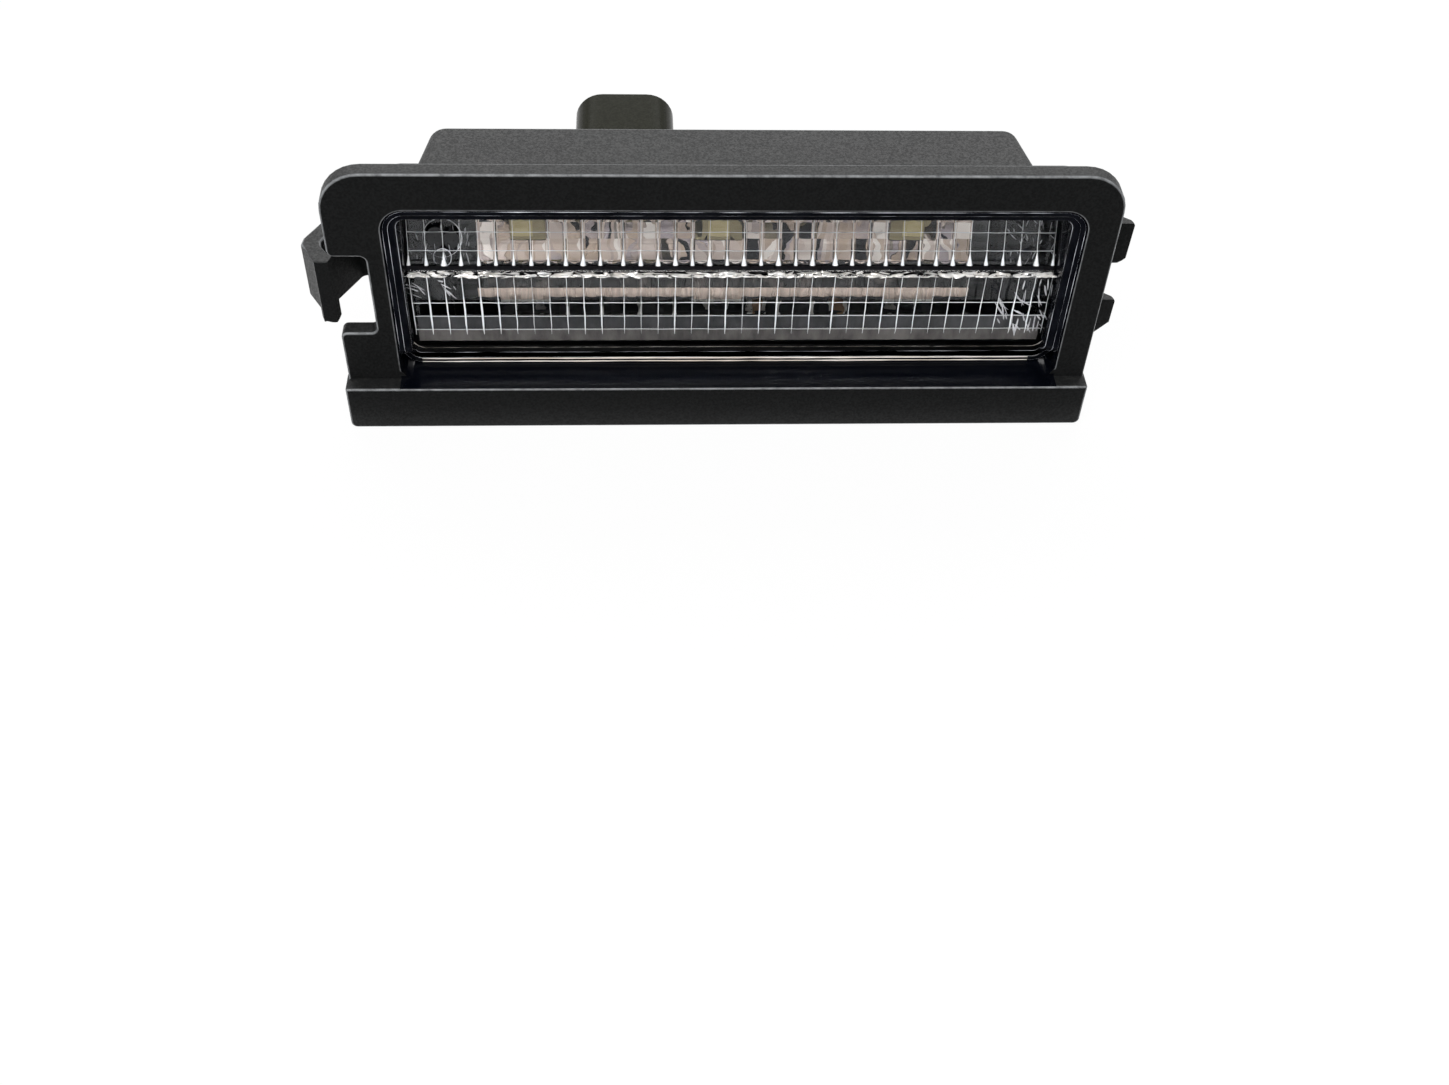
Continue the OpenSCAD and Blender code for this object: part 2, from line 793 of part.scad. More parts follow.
// A blade from the board out into the shroud, with a pointed tip
module terminal(x) {
    tip = shroud_end - blade_back;
    color("#c9b27a")
    plan([
        [x - blade_w / 2, board_y0 + 0.1],
        [x + blade_w / 2, board_y0 + 0.1],
        [x + blade_w / 2, tip - blade_taper],
        [x + blade_w / 4, tip],
        [x - blade_w / 4, tip],
        [x - blade_w / 2, tip - blade_taper]
    ], shroud_zc - blade_t / 2, shroud_zc + blade_t / 2);
}

housing();
lens();
lens_seal();
rear_cover();
vent_patch();
circuit_board();
board_screws();
reflector();
led_body(1);  // led_body_1
led_body(2);  // led_body_2
led_body(3);  // led_body_3
led_phosphor(1);  // led_phosphor_1
led_phosphor(2);  // led_phosphor_2
led_phosphor(3);  // led_phosphor_3
resistor(1);  // resistor_1
resistor(2);  // resistor_2
resistor(3);  // resistor_3
diode();
surge_suppressor();
capacitor(1);  // capacitor_1
capacitor(2);  // capacitor_2
driver_chip();
terminal_carrier();
terminal(blade_x[0]);  // terminal_left
terminal(blade_x[1]);  // terminal_right
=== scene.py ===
"""Looks of a clip-in number plate lamp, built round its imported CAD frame.

Every length is in metres, in the frame of the part: X runs across the car, +Y goes into the
panel, +Z is up, and the origin is the middle of the flange's foot on the face that seats on
the panel. Each sub-assembly is a class: its sizes are fields, its methods make its pieces.
"""
import logging
import math
from dataclasses import dataclass
from enum import Enum
from functools import reduce
from itertools import product
from typing import Iterable, Sequence

import bmesh
import bpy
from mathutils import Matrix, Vector, noise
from mathutils.bvhtree import BVHTree


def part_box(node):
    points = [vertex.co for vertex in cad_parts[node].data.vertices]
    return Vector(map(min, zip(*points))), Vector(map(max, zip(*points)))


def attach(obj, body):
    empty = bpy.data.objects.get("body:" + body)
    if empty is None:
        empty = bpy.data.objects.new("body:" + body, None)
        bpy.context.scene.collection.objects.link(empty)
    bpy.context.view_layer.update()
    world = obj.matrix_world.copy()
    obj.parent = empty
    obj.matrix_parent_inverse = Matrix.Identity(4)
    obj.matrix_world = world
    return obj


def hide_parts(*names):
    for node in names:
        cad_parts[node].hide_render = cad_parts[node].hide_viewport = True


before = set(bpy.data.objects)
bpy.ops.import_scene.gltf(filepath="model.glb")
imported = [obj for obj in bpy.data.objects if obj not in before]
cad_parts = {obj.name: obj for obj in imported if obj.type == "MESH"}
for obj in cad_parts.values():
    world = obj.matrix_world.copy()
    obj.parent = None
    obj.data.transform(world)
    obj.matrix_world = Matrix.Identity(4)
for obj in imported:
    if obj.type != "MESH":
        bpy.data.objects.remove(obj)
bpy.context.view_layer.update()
LOG = logging.getLogger("plate_lamp")
MM = 0.001
Span = tuple[float, float]
Colour = tuple[float, float, float]
Place = tuple[float, float, float]
Piece = bpy.types.Object
Finish = bpy.types.Material
Tree = bpy.types.NodeTree
Node = bpy.types.Node
Socket = bpy.types.NodeSocket


class Slot(Enum):
    """Material slots of the part's record, which the new pieces name."""

    HOUSING = "housing_plastic"
    LENS = "lens_clear"
    COVER = "cover_plastic"
    SCREW = "screw_steel"
    REFLECTOR = "reflector_metal"
    LED_BODY = "led_white"
    TERMINAL = "terminal_tin"


class Attribute(Enum):
    """Named values that the meshes carry for their node trees."""

    # Marks rounded edges for their rubbing and for a painted pale highlight along them.
    WEAR = "edge_wear"
    ACROSS = "cell_across"
    UP = "cell_up"
    OPTIC = "optic_cell"
    GIRTH = "line_girth"


def toned(colour: Colour, factor: float = 1.0, lift: float = 0.0) -> tuple[float, float, float, float]:
    """Returns a colour with full alpha, times a factor and lifted."""
    return (*(min(1.0, part * factor + lift) for part in colour), 1.0)


def smooth(value: float, start: float, end: float) -> float:
    """Smooth step of a value from start to end."""
    share = min(1.0, max(0.0, (value - start) / (end - start)))
    return share * share * (3 - 2 * share)


def steps_between(start: float, end: float, spacing: float) -> list[float]:
    """Evenly spaced places from start up to, but without, end."""
    count = max(1, round(abs(end - start) / spacing))
    return [start + (end - start) * number / count for number in range(count)]


def turns(count: int) -> list[float]:
    """Evenly spaced angles round one full turn."""
    return [math.tau * number / count for number in range(count)]


class Bench:
    """Lays nodes into one shader or geometry tree and wires them."""

    def __init__(self, tree: Tree) -> None:
        """Takes the tree to work on."""
        self.tree = tree

    def join(self, source: Socket, target: Socket) -> None:
        """Wires an output to an input."""
        self.tree.links.new(source, target)

    def node(self, kind: str, sockets: dict | None = None, **settings: object) -> Node:
        """Adds one node.

        Args:
            kind: Blender's name of the node type.
            sockets: values or output sockets, keyed by input name or number.
            settings: properties of the node itself.

        Returns:
            The new node.
        """
        made = self.tree.nodes.new(kind)
        for name, value in settings.items():
            setattr(made, name, value)
        for key, value in (sockets or {}).items():
            if isinstance(value, Socket):
                self.join(value, made.inputs[key])
            else:
                made.inputs[key].default_value = value
        return made

    def maths(self, operation: str, *terms: object) -> Socket:
        """Adds a Math node on the given terms and returns its output."""
        return self.node("ShaderNodeMath", dict(enumerate(terms)), operation=operation).outputs[0]

    def vector(self, operation: str, *terms: object) -> Socket:
        """Adds a Vector Math node on the given terms and returns its vector output."""
        return self.node("ShaderNodeVectorMath", dict(enumerate(terms)), operation=operation).outputs[0]

    def scaled(self, vector: Socket, factor: Socket) -> Socket:
        """Returns a vector times a number."""
        return self.node("ShaderNodeVectorMath", {0: vector, "Scale": factor}, operation="SCALE").outputs[0]

    def split(self, vector: Socket) -> bpy.types.NodeOutputs:
        """Returns the three parts of a vector."""
        return self.node("ShaderNodeSeparateXYZ", {0: vector}).outputs

    def place(self) -> Socket:
        """Returns a point's place on its piece."""
        return self.node("ShaderNodeTexCoord").outputs["Object"]

    def facing(self, axis: str) -> Socket:
        """Returns how far a face looks along an axis."""
        return self.split(self.node("ShaderNodeNewGeometry").outputs["Normal"])[axis]

    def mapped(self, vector: Socket, **change: Sequence[float]) -> Socket:
        """Returns a vector moved, turned or scaled by a Mapping node."""
        return self.node("ShaderNodeMapping", {"Vector": vector, **change}).outputs[0]

    def total(self, *parts: tuple[Socket, object]) -> Socket:
        """Returns the sum of some values, each times its share."""
        weighed = [part[0] if part[1] == 1 else self.maths("MULTIPLY", *part) for part in parts]
        return reduce(lambda so_far, part: self.maths("ADD", so_far, part), weighed)

    def least(self, *values: Socket) -> Socket:
        """Returns the smallest of some values."""
        return reduce(lambda so_far, value: self.maths("MINIMUM", so_far, value), values)

    def blend(self, factor: object, low: object, high: object) -> Socket:
        """Mixes two numbers by a factor and returns the result."""
        return self.node("ShaderNodeMix", {0: factor, 2: low, 3: high}, data_type="FLOAT").outputs[0]

    def tint(self, factor: object, low: object, high: object) -> Socket:
        """Mixes two colours by a factor and returns the result."""
        return self.node("ShaderNodeMix", {0: factor, 6: low, 7: high}, data_type="RGBA").outputs[2]

    def ramp(self, value: Socket, start: float, end: float) -> Socket:
        """Maps a value from start to end smoothly onto 0 to 1 and returns it."""
        sockets = {0: value, 1: start, 2: end, 3: 0.0, 4: 1.0}
        return self.node("ShaderNodeMapRange", sockets, interpolation_type="SMOOTHSTEP").outputs[0]

    def clouds(self, where: Socket, scale: object, detail: float = 2.0, rough: object = 0.5) -> Socket:
        """Adds a Noise Texture and returns its value."""
        settings = {"Vector": where, "Scale": scale, "Detail": detail, "Roughness": rough}
        return self.node("ShaderNodeTexNoise", settings).outputs["Fac"]

    def attribute(self, name: Attribute) -> Socket:
        """Returns a named value of the mesh in a geometry tree."""
        kind = "GeometryNodeInputNamedAttribute"
        return self.node(kind, {"Name": name.value}, data_type="FLOAT").outputs[0]

    def coat(self, skin: Node, colour: Socket, rough: Socket, height: Socket, bump: Span) -> None:
        """Wires a colour, a roughness and a bump into a Principled BSDF.

        Args:
            skin: the Principled BSDF.
            colour: its colour.
            rough: its roughness.
            height: the height of its bump.
            bump: the strength of the bump, and its distance.
        """
        raised = self.node("ShaderNodeBump", {"Strength": bump[0], "Distance": bump[1], "Height": height})
        self.join(colour, skin.inputs["Base Color"])
        self.join(rough, skin.inputs["Roughness"])
        self.join(raised.outputs[0], skin.inputs["Normal"])


class Group(Bench):
    """A bench on a new node group with named inputs and outputs."""

    KINDS: dict[type, str] = {int: "NodeSocketInt", float: "NodeSocketFloat", Vector: "NodeSocketVector"}

    def __init__(self, name: str, kind: str, inputs: dict[str, object], outputs: Iterable[str]) -> None:
        """Makes the group.

        Args:
            name: its name.
            kind: ShaderNodeTree or GeometryNodeTree.
            inputs: the default of each input, or its socket type where it has none.
            outputs: its outputs: Geometry, or else numbers.
        """
        super().__init__(bpy.data.node_groups.new(name, kind))
        for title, value in inputs.items():
            sort = self.KINDS.get(type(value), value)
            socket = self.tree.interface.new_socket(name=title, in_out="INPUT", socket_type=sort)
            if sort is not value:
                socket.default_value = value
        for title in outputs:
            sort = f"NodeSocket{title}" if title == "Geometry" else self.KINDS[float]
            self.tree.interface.new_socket(name=title, in_out="OUTPUT", socket_type=sort)
        self.given = self.node("NodeGroupInput").outputs
        self.out = self.node("NodeGroupOutput").inputs

    @classmethod
    def effect(cls, name: str, inputs: dict[str, float], *outputs: str) -> "Group":
        """Starts a shader group whose sockets are numbers."""
        return cls(name, "ShaderNodeTree", inputs, outputs)

    @classmethod
    def shaper(cls, name: str, inputs: dict[str, object]) -> "Group":
        """Starts a geometry tree that also takes a mesh and a material."""
        sockets = {"Geometry": "NodeSocketGeometry", "Material": "NodeSocketMaterial", **inputs}
        return cls(name, "GeometryNodeTree", sockets, ["Geometry"])

    def finish(self, shape: Socket, soft: bool = True) -> Tree:
        """Ends a geometry tree in Realize Instances and Set Material.

        Args:
            shape: the geometry so far.
            soft: whether its faces are shaded smooth.

        Returns:
            The tree.
        """
        shape = self.node("GeometryNodeRealizeInstances", {0: shape}).outputs[0]
        if soft:
            shape = self.node("GeometryNodeSetShadeSmooth", {"Geometry": shape}).outputs[0]
        done = self.node("GeometryNodeSetMaterial", {"Geometry": shape, "Material": self.given["Material"]})
        self.join(done.outputs[0], self.out[0])
        return self.tree


@dataclass
class Effects:
    """Shader groups that several finishes share, each built once."""

    pit_scale: float = 0.55
    pit_share: float = 0.35
    patch_scale: float = 0.05
    patch_share: float = 0.08
    fleck: Span = (0.36, 0.64)
    rub_and_highlight_patches: Span = (0.05, 0.75)
    upward: Span = (0.3, 0.95)
    specks: Span = (0.45, 0.75)

    def __post_init__(self) -> None:
        """Builds the groups."""
        self.grain = self.build_grain()
        self.wear = self.build_rubbing_and_highlight()
        self.dust = self.build_dust()

    def build_grain(self) -> Tree:
        """Builds the spark-eroded grain of a moulding tool.

        Returns:
            The group.
        """
        group = Group.effect("moulded_grain", {"Scale": 4000.0, "Softness": 0.5}, "Height", "Fleck")
        where, scale = group.place(), group.given["Scale"]
        fine = group.clouds(where, scale, 3.0, group.given["Softness"])
        pits = group.node("ShaderNodeTexVoronoi", {
            "Vector": where, "Scale": group.maths("MULTIPLY", scale, self.pit_scale),
        }, feature="SMOOTH_F1")
        patches = group.clouds(where, group.maths("MULTIPLY", scale, self.patch_scale))
        fleck = group.total((fine, 1 - self.patch_share), (patches, self.patch_share))
        group.join(group.total((fine, 1), (pits.outputs["Distance"], self.pit_share)), group.out["Height"])
        group.join(group.ramp(fleck, *self.fleck), group.out["Fleck"])
        return group.tree

    def build_rubbing_and_highlight(self) -> Tree:
        """Builds the rubbing of outer edges, whose mask also places a painted pale highlight along them, from
        the edge mark of the mesh.

        Returns:
            The group.
        """
        group = Group.effect("rubbed_edges", {"Amount": 0.5, "Scale": 900.0}, "Mask")
        edge = group.node("ShaderNodeAttribute", attribute_name=Attribute.WEAR.value).outputs["Fac"]
        patchy = group.ramp(group.clouds(group.place(), group.given["Scale"], 4.0, 0.65), *self.rub_and_highlight_patches)
        mask = group.maths("MULTIPLY", group.maths("MULTIPLY", edge, patchy), group.given["Amount"])
        group.join(mask, group.out["Mask"])
        return group.tree

    def build_dust(self) -> Tree:
        """Builds the thin dust that settles on what faces up.

        Returns:
            The group.
        """
        group = Group.effect("settled_dust", {"Amount": 0.2, "Scale": 1400.0}, "Mask")
        level = group.ramp(group.facing("Z"), *self.upward)
        specks = group.ramp(group.clouds(group.place(), group.given["Scale"], 5.0, 0.75), *self.specks)
        mask = group.maths("MULTIPLY", group.maths("MULTIPLY", level, specks), group.given["Amount"])
        group.join(mask, group.out["Mask"])
        return group.tree


EFFECTS = Effects()


def new_material(name: str) -> tuple[Finish, Bench, Node]:
    """Starts a node material.

    Args:
        name: the material's name.

    Returns:
        The material, a bench on its nodes and its Principled BSDF.
    """
    made = bpy.data.materials.new(name)
    made.use_nodes = True
    return made, Bench(made.node_tree), made.node_tree.nodes["Principled BSDF"]


@dataclass(frozen=True)
class Moulding:
    """A moulded plastic with the tool's grain, edges pale from rubbing and from a painted highlight, and a
    little dust.
    """

    name: str
    base: Colour
    # The pale colour on the edges: partly rubbing, partly a painted highlight.
    pale: Colour
    rough: Span = (0.42, 0.6)
    sheen_level: float = 0.3
    grain: float = 4200.0
    grain_depth: float = 0.35
    grain_reach: float = 0.03 * MM
    wear: float = 0.5
    worn_gloss: float = 0.7
    dust: float = 0.15
    dust_colour: Colour = (0.3, 0.29, 0.27)

    def make(self) -> Finish:
        """Builds the material.

        Returns:
            The material.
        """
        material, bench, skin = new_material(self.name)
        bench.coat(skin, *self.lay(bench), (self.grain_depth, self.grain_reach))
        skin.inputs["Specular IOR Level"].default_value = self.sheen_level
        return material

    def lay(self, bench: Bench) -> tuple[Socket, Socket, Socket]:
        """Lays the grain, the rubbing of the edges with its painted pale highlight, and the dust over the
        base colour.

        Args:
            bench: the material's bench.

        Returns:
            The colour, the roughness and the height of the surface.
        """
        grain = bench.node("ShaderNodeGroup", node_tree=EFFECTS.grain)
        wear = bench.node("ShaderNodeGroup", node_tree=EFFECTS.wear)
        dust = bench.node("ShaderNodeGroup", node_tree=EFFECTS.dust)
        grain.inputs["Scale"].default_value = self.grain
        wear.inputs["Amount"].default_value = self.wear
        dust.inputs["Amount"].default_value = self.dust
        fleck, worn_and_lit = grain.outputs["Fleck"], wear.outputs["Mask"]
        colour = bench.tint(fleck, toned(self.base), toned(self.base, 1.5, 0.002))
        # Edges: pale from rubbing, and the same pale is a painted highlight.
        colour = bench.tint(worn_and_lit, colour, toned(self.pale))
        colour = bench.tint(dust.outputs["Mask"], colour, toned(self.dust_colour))
        rough = bench.blend(fleck, self.rough[1], self.rough[0])
        rough = bench.blend(worn_and_lit, rough, self.rough[0] * self.worn_gloss)
        return colour, rough, grain.outputs["Height"]


@dataclass(frozen=True)
class PolishedWell(Moulding):
    """The housing's moulding: grained outside, and polished inside the window.

    Each polished space is a box, given by two corners, in which the faces are polished whose
    normal has less than so much of +Y.
    """

    polish: Colour = (0.001, 0.0014, 0.003)
    gloss: Span = (0.17, 0.27)
    ripple_scale: float = 420.0
    ripple_depth: float = 0.12
    spaces: tuple[tuple[Place, Place, float], ...] = (
        ((-35.25 * MM, -2.0 * MM, 5.56 * MM), (37.65 * MM, 3.6 * MM, 27.8 * MM), 0.3),
        ((-33.0 * MM, 2.0 * MM, 6.8 * MM), (34.8 * MM, 6.2 * MM, 27.0 * MM), 0.3),
        ((-30.4 * MM, 2.0 * MM, 6.0 * MM), (31.2 * MM, 9.0 * MM, 27.9 * MM), 0.3),
        ((-35.25 * MM, -3.8 * MM, 5.5 * MM), (37.65 * MM, -1.9 * MM, 5.95 * MM), 0.3),
        ((-35.25 * MM, 3.0 * MM, 5.5 * MM), (37.65 * MM, 12.0 * MM, 27.9 * MM), -0.5),
    )

    def lay(self, bench: Bench) -> tuple[Socket, Socket, Socket]:
        """Lays the polish over the moulding in the spaces inside the window.

        Args:
            bench: the material's bench.

        Returns:
            The colour, the roughness and the height of the surface.
        """
        colour, rough, height = super().lay(bench)
        where, facing = bench.place(), bench.facing("Y")
        inside: float | Socket = 0.0
        for low, high, most in self.spaces:
            turned = bench.maths("LESS_THAN", facing, most)
            space = bench.maths("MULTIPLY", turned, self.within(bench, where, low, high))
            inside = bench.maths("MAXIMUM", inside, space)
        ripple = bench.clouds(where, self.ripple_scale, 1.0)
        return (
            bench.tint(inside, colour, toned(self.polish)),
            bench.blend(inside, rough, bench.blend(ripple, *self.gloss)),
            bench.blend(inside, height, bench.maths("MULTIPLY", ripple, self.ripple_depth)),
        )

    @staticmethod
    def within(bench: Bench, where: Socket, low: Place, high: Place) -> Socket:
        """Returns 1 inside a box and 0 outside it.

        Args:
            bench: the material's bench.
            where: the place to test.
            low: the box's lowest corner.
            high: its highest corner.

        Returns:
            The mask.
        """
        above = bench.split(bench.vector("SUBTRACT", where, low))
        below = bench.split(bench.vector("SUBTRACT", high, where))
        return bench.maths("GREATER_THAN", bench.least(*above, *below), 0.0)


@dataclass(frozen=True)
class ClearOptic:
    """Clear moulded plastic with faint flow waves."""

    name: str
    index: float = 1.49
    tint: Colour = (0.97, 0.985, 1.0)
    warmth: float = 0.985
    wave_scale: float = 600.0
    wave_depth: float = 0.04
    wave_reach: float = 0.1 * MM
    streak_scale: float = 150.0
    haze_scale: float = 90.0
    haze_start: Span = (0.45, 0.8)
    haze: Span = (0.0, 0.012)

    def make(self) -> Finish:
        """Builds the material.

        Returns:
            The material.
        """
        material, bench, skin = new_material(self.name)
        where = bench.place()
        streaks = bench.clouds(where, self.streak_scale, 3.0)
        colour = bench.tint(streaks, toned(self.tint), toned(self.tint, self.warmth))
        haze = bench.ramp(bench.clouds(where, self.haze_scale, 1.0), *self.haze_start)
        waves = bench.clouds(where, self.wave_scale, 2.0, 0.4)
        bench.coat(skin, colour, bench.blend(haze, *self.haze), waves, (self.wave_depth, self.wave_reach))
        skin.inputs["Transmission Weight"].default_value = 1.0
        skin.inputs["IOR"].default_value = self.index
        return material


@dataclass(frozen=True)
class Fine:
    """A plain small-part finish: two shades, fine grain and a roughness range."""

    name: str
    base: Colour
    other: Colour
    rough: Span = (0.35, 0.55)
    metal: float = 0.0
    scale: float = 3000.0
    stretch: Place = (1.0, 1.0, 1.0)
    bump: float = 0.2
    bump_reach: float = 0.02 * MM
    broad_scale: float = 0.12
    broad_share: float = 0.4
    contrast: Span = (0.3, 0.7)

    def make(self) -> Finish:
        """Builds the material.

        Returns:
            The material.
        """
        material, bench, skin = new_material(self.name)
        where = bench.mapped(bench.place(), Scale=self.stretch)
        fine = bench.clouds(where, self.scale, 4.0, 0.6)
        broad = bench.clouds(where, self.scale * self.broad_scale)
        mixed = bench.total((fine, 1 - self.broad_share), (broad, self.broad_share))
        colour = bench.tint(bench.ramp(mixed, *self.contrast), toned(self.base), toned(self.other))
        bench.coat(skin, colour, bench.blend(fine, *self.rough), fine, (self.bump, self.bump_reach))
        skin.inputs["Metallic"].default_value = self.metal
        return material


@dataclass(frozen=True)
class MetallisingWithPaintedReflections:
    """The reflector's warm metallising, with painted reflections: fluted above the crease, where its darkest
    and palest strips are painted reflections, dark on its apron as a painted dark reflection, and pale at its
    lip.

    Above the apron, upright strips of two widths and a stretched cloud choose each shade together.
    """

    name: str
    # The darkest and the palest shades paint dark and bright reflections; the tans between are the metal's
    # tone.
    shades: tuple[Colour, ...] = (
        (0.006, 0.006, 0.01), (0.16, 0.13, 0.07), (0.42, 0.36, 0.37), (0.52, 0.4, 0.31),
        (0.62, 0.51, 0.45), (0.92, 0.84, 0.77),
    )
    stops: tuple[float, ...] = (0.01, 0.09, 0.2, 0.45, 0.78, 1.0)
    flute: float = 0.36 * MM
    thin_share: float = 0.38
    row: float = 2.1 * MM
    row_jump: float = 37.0
    sway: float = 0.8 * MM
    sway_scale: float = 300.0
    cloud_scale: float = 600.0
    cloud_stretch: Place = (1.0, 1.0, 0.25)
    mix: tuple[float, float, float] = (0.38, 0.37, 0.25)
    contrast: Span = (0.22, 0.78)
    apron_head: float = 16.35 * MM
    # The apron is painted near black as a dark reflection, with faint painted glints in patches.
    apron_painted_shade: Colour = (0.006, 0.006, 0.006)
    apron_painted_glint: Colour = (0.06, 0.05, 0.045)
    apron_patches: Span = (0.5, 0.7)
    lip_head: float = 14.75 * MM
    lip_colour: Colour = (0.86, 0.69, 0.58)
    lip_shade: float = 0.7
    tab_head: float = 13.2 * MM
    tab_colour: Colour = (0.95, 0.92, 0.85)
    rough: Span = (0.18, 0.4)
    bump: Span = (0.4, 0.1 * MM)
    metal: float = 0.7

    def make(self) -> Finish:
        """Builds the material.

        Returns:
            The material.
        """
        material, bench, skin = new_material(self.name)
        where = bench.place()
        x, _, height = bench.split(where)
        sway = bench.maths("MULTIPLY", bench.clouds(where, self.sway_scale), self.sway)
        along = bench.maths("ADD", x, sway)
        rows = bench.maths("FLOOR", bench.maths("DIVIDE", height, self.row))
        row = bench.maths("MULTIPLY", rows, self.row_jump)
        broad = self.strips(bench, along, row, self.flute)
        narrow = self.strips(bench, along, row, self.flute * self.thin_share)
        cloud = bench.clouds(bench.mapped(where, Scale=self.cloud_stretch), self.cloud_scale, 2.0, 0.6)
        pick = bench.ramp(bench.total(*zip((broad, narrow, cloud), self.mix)), *self.contrast)
        patches = bench.ramp(cloud, *self.apron_patches)
        # Painted dark reflection on the apron, with painted glints.
        apron = bench.tint(patches, toned(self.apron_painted_shade), toned(self.apron_painted_glint))
        lip = bench.tint(narrow, toned(self.lip_colour), toned(self.lip_colour, self.lip_shade))
        colour = self.shade(bench, pick)
        heads = (self.apron_head, self.lip_head, self.tab_head)
        for head, below in zip(heads, (apron, lip, toned(self.tab_colour))):
            colour = bench.tint(bench.maths("LESS_THAN", height, head), colour, below)
        bench.coat(skin, colour, bench.blend(broad, *self.rough), pick, self.bump)
        skin.inputs["Metallic"].default_value = self.metal
        return material

    @staticmethod
    def strips(bench: Bench, along: Socket, row: Socket, width: float) -> Socket:
        """Returns a chance value for each upright strip, so wide, of each row."""
        strip = bench.maths("ADD", bench.maths("FLOOR", bench.maths("DIVIDE", along, width)), row)
        return bench.node("ShaderNodeTexWhiteNoise", {"W": strip}, noise_dimensions="1D").outputs["Value"]

    def shade(self, bench: Bench, pick: Socket) -> Socket:
        """Looks up the shade of a value.

        Args:
            bench: the material's bench.
            pick: the value, from 0 to 1.

        Returns:
            The colour.
        """
        ramp = bench.node("ShaderNodeValToRGB", {"Fac": pick})
        ramp.color_ramp.interpolation = "EASE"
        while len(ramp.color_ramp.elements) < len(self.shades):
            ramp.color_ramp.elements.new(0.5)
        for element, stop, shade in zip(ramp.color_ramp.elements, self.stops, self.shades):
            element.position = stop
            element.color = toned(shade)
        return ramp.outputs["Color"]


@dataclass(frozen=True)
class CappedChip:
    """A chip part: a moulded body with a tinned cap at each end, centred on its node."""

    name: str
    body: Colour
    cap: Colour = (0.62, 0.6, 0.56)
    cap_share: float = 0.32
    speck_scale: float = 5000.0
    body_rough: Span = (0.5, 0.65)
    cap_rough: Span = (0.2, 0.4)
    bump: Span = (0.25, 0.02 * MM)

    def make(self, node: str) -> Finish:
        """Builds the material for one CAD node.

        Args:
            node: the CAD node that the caps are centred on.

        Returns:
            The material.
        """
        low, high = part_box(node)
        material, bench, skin = new_material(f"{self.name}_{node}")
        place = bench.place()
        centred = bench.mapped(place, Location=-(low + high) / 2)
        across = bench.maths("ABSOLUTE", bench.split(centred)["X"])
        cap = bench.maths("GREATER_THAN", across, (high.x - low.x) / 2 * (1 - self.cap_share))
        fine = bench.clouds(place, self.speck_scale, 4.0, 0.6)
        speckled = bench.tint(fine, toned(self.body), toned(self.body, 1.6, 0.004))
        rough = bench.blend(cap, bench.blend(fine, *self.body_rough), bench.blend(fine, *self.cap_rough))
        bench.coat(skin, bench.tint(cap, speckled, toned(self.cap)), rough, fine, self.bump)
        bench.join(cap, skin.inputs["Metallic"])
        return material


@dataclass(frozen=True)
class Laminate:
    """Solder mask over copper: nearly black, with paler tracks and a faint weave."""

    name: str
    mask: Colour = (0.014, 0.015, 0.016)
    track: Colour = (0.04, 0.04, 0.042)
    track_scale: float = 170.0
    track_width: float = 0.06
    track_edge: float = 0.2
    weave_scale: float = 1500.0
    weave_share: float = 0.2
    rough: Span = (0.25, 0.4)
    bump: Span = (0.05, 0.02 * MM)

    def make(self) -> Finish:
        """Builds the material.

        Returns:
            The material.
        """
        material, bench, skin = new_material(self.name)
        where = bench.place()
        tracks = bench.node("ShaderNodeTexBrick", {
            "Vector": bench.mapped(where, Rotation=(math.pi / 2, 0.0, 0.0)), "Scale": self.track_scale,
            "Mortar Size": self.track_width, "Mortar Smooth": self.track_edge,
        }).outputs["Fac"]
        weave = bench.clouds(where, self.weave_scale, 1.0)
        height = bench.total((tracks, 1), (weave, self.weave_share))
        colour = bench.tint(tracks, toned(self.mask), toned(self.track))
        bench.coat(skin, colour, bench.blend(weave, *self.rough), height, self.bump)
        return material


def link_piece(name: str, mesh: bpy.types.Mesh) -> Piece:
    """Puts a mesh into the scene as an object at the origin.

    Args:
        name: the object's name.
        mesh: its mesh.

    Returns:
        The object.
    """
    made = bpy.data.objects.new(name, mesh)
    bpy.context.scene.collection.objects.link(made)
    return made


def cast(name: str, work: bmesh.types.BMesh) -> bpy.types.Mesh:
    """Turns a worked mesh into a mesh datablock.

    Args:
        name: the mesh's name.
        work: the worked mesh, which is freed.

    Returns:
        The mesh.
    """
    mesh = bpy.data.meshes.new(name)
    work.to_mesh(mesh)
    work.free()
    return mesh


def hull_piece(name: str, *clusters: Iterable[Place]) -> Piece:
    """Makes one piece of the hulls round some clusters of points.

    Args:
        name: the piece's name.
        clusters: the points of each hull.

    Returns:
        The piece.
    """
    work = bmesh.new()
    for cluster in clusters:
        bmesh.ops.convex_hull(work, input=[work.verts.new(point) for point in cluster])
    bmesh.ops.recalc_face_normals(work, faces=work.faces)
    return link_piece(name, cast(name, work))


def settle(piece: Piece) -> Piece:
    """Turns a piece's modifiers into plain mesh.

    Args:
        piece: the object whose modifiers are live.

    Returns:
        The same object, with the evaluated mesh and no modifiers.
    """
    graph = bpy.context.evaluated_depsgraph_get()
    solid = bpy.data.meshes.new_from_object(piece.evaluated_get(graph))
    solid.name = piece.name
    piece.modifiers.clear()
    piece.data = solid
    return piece


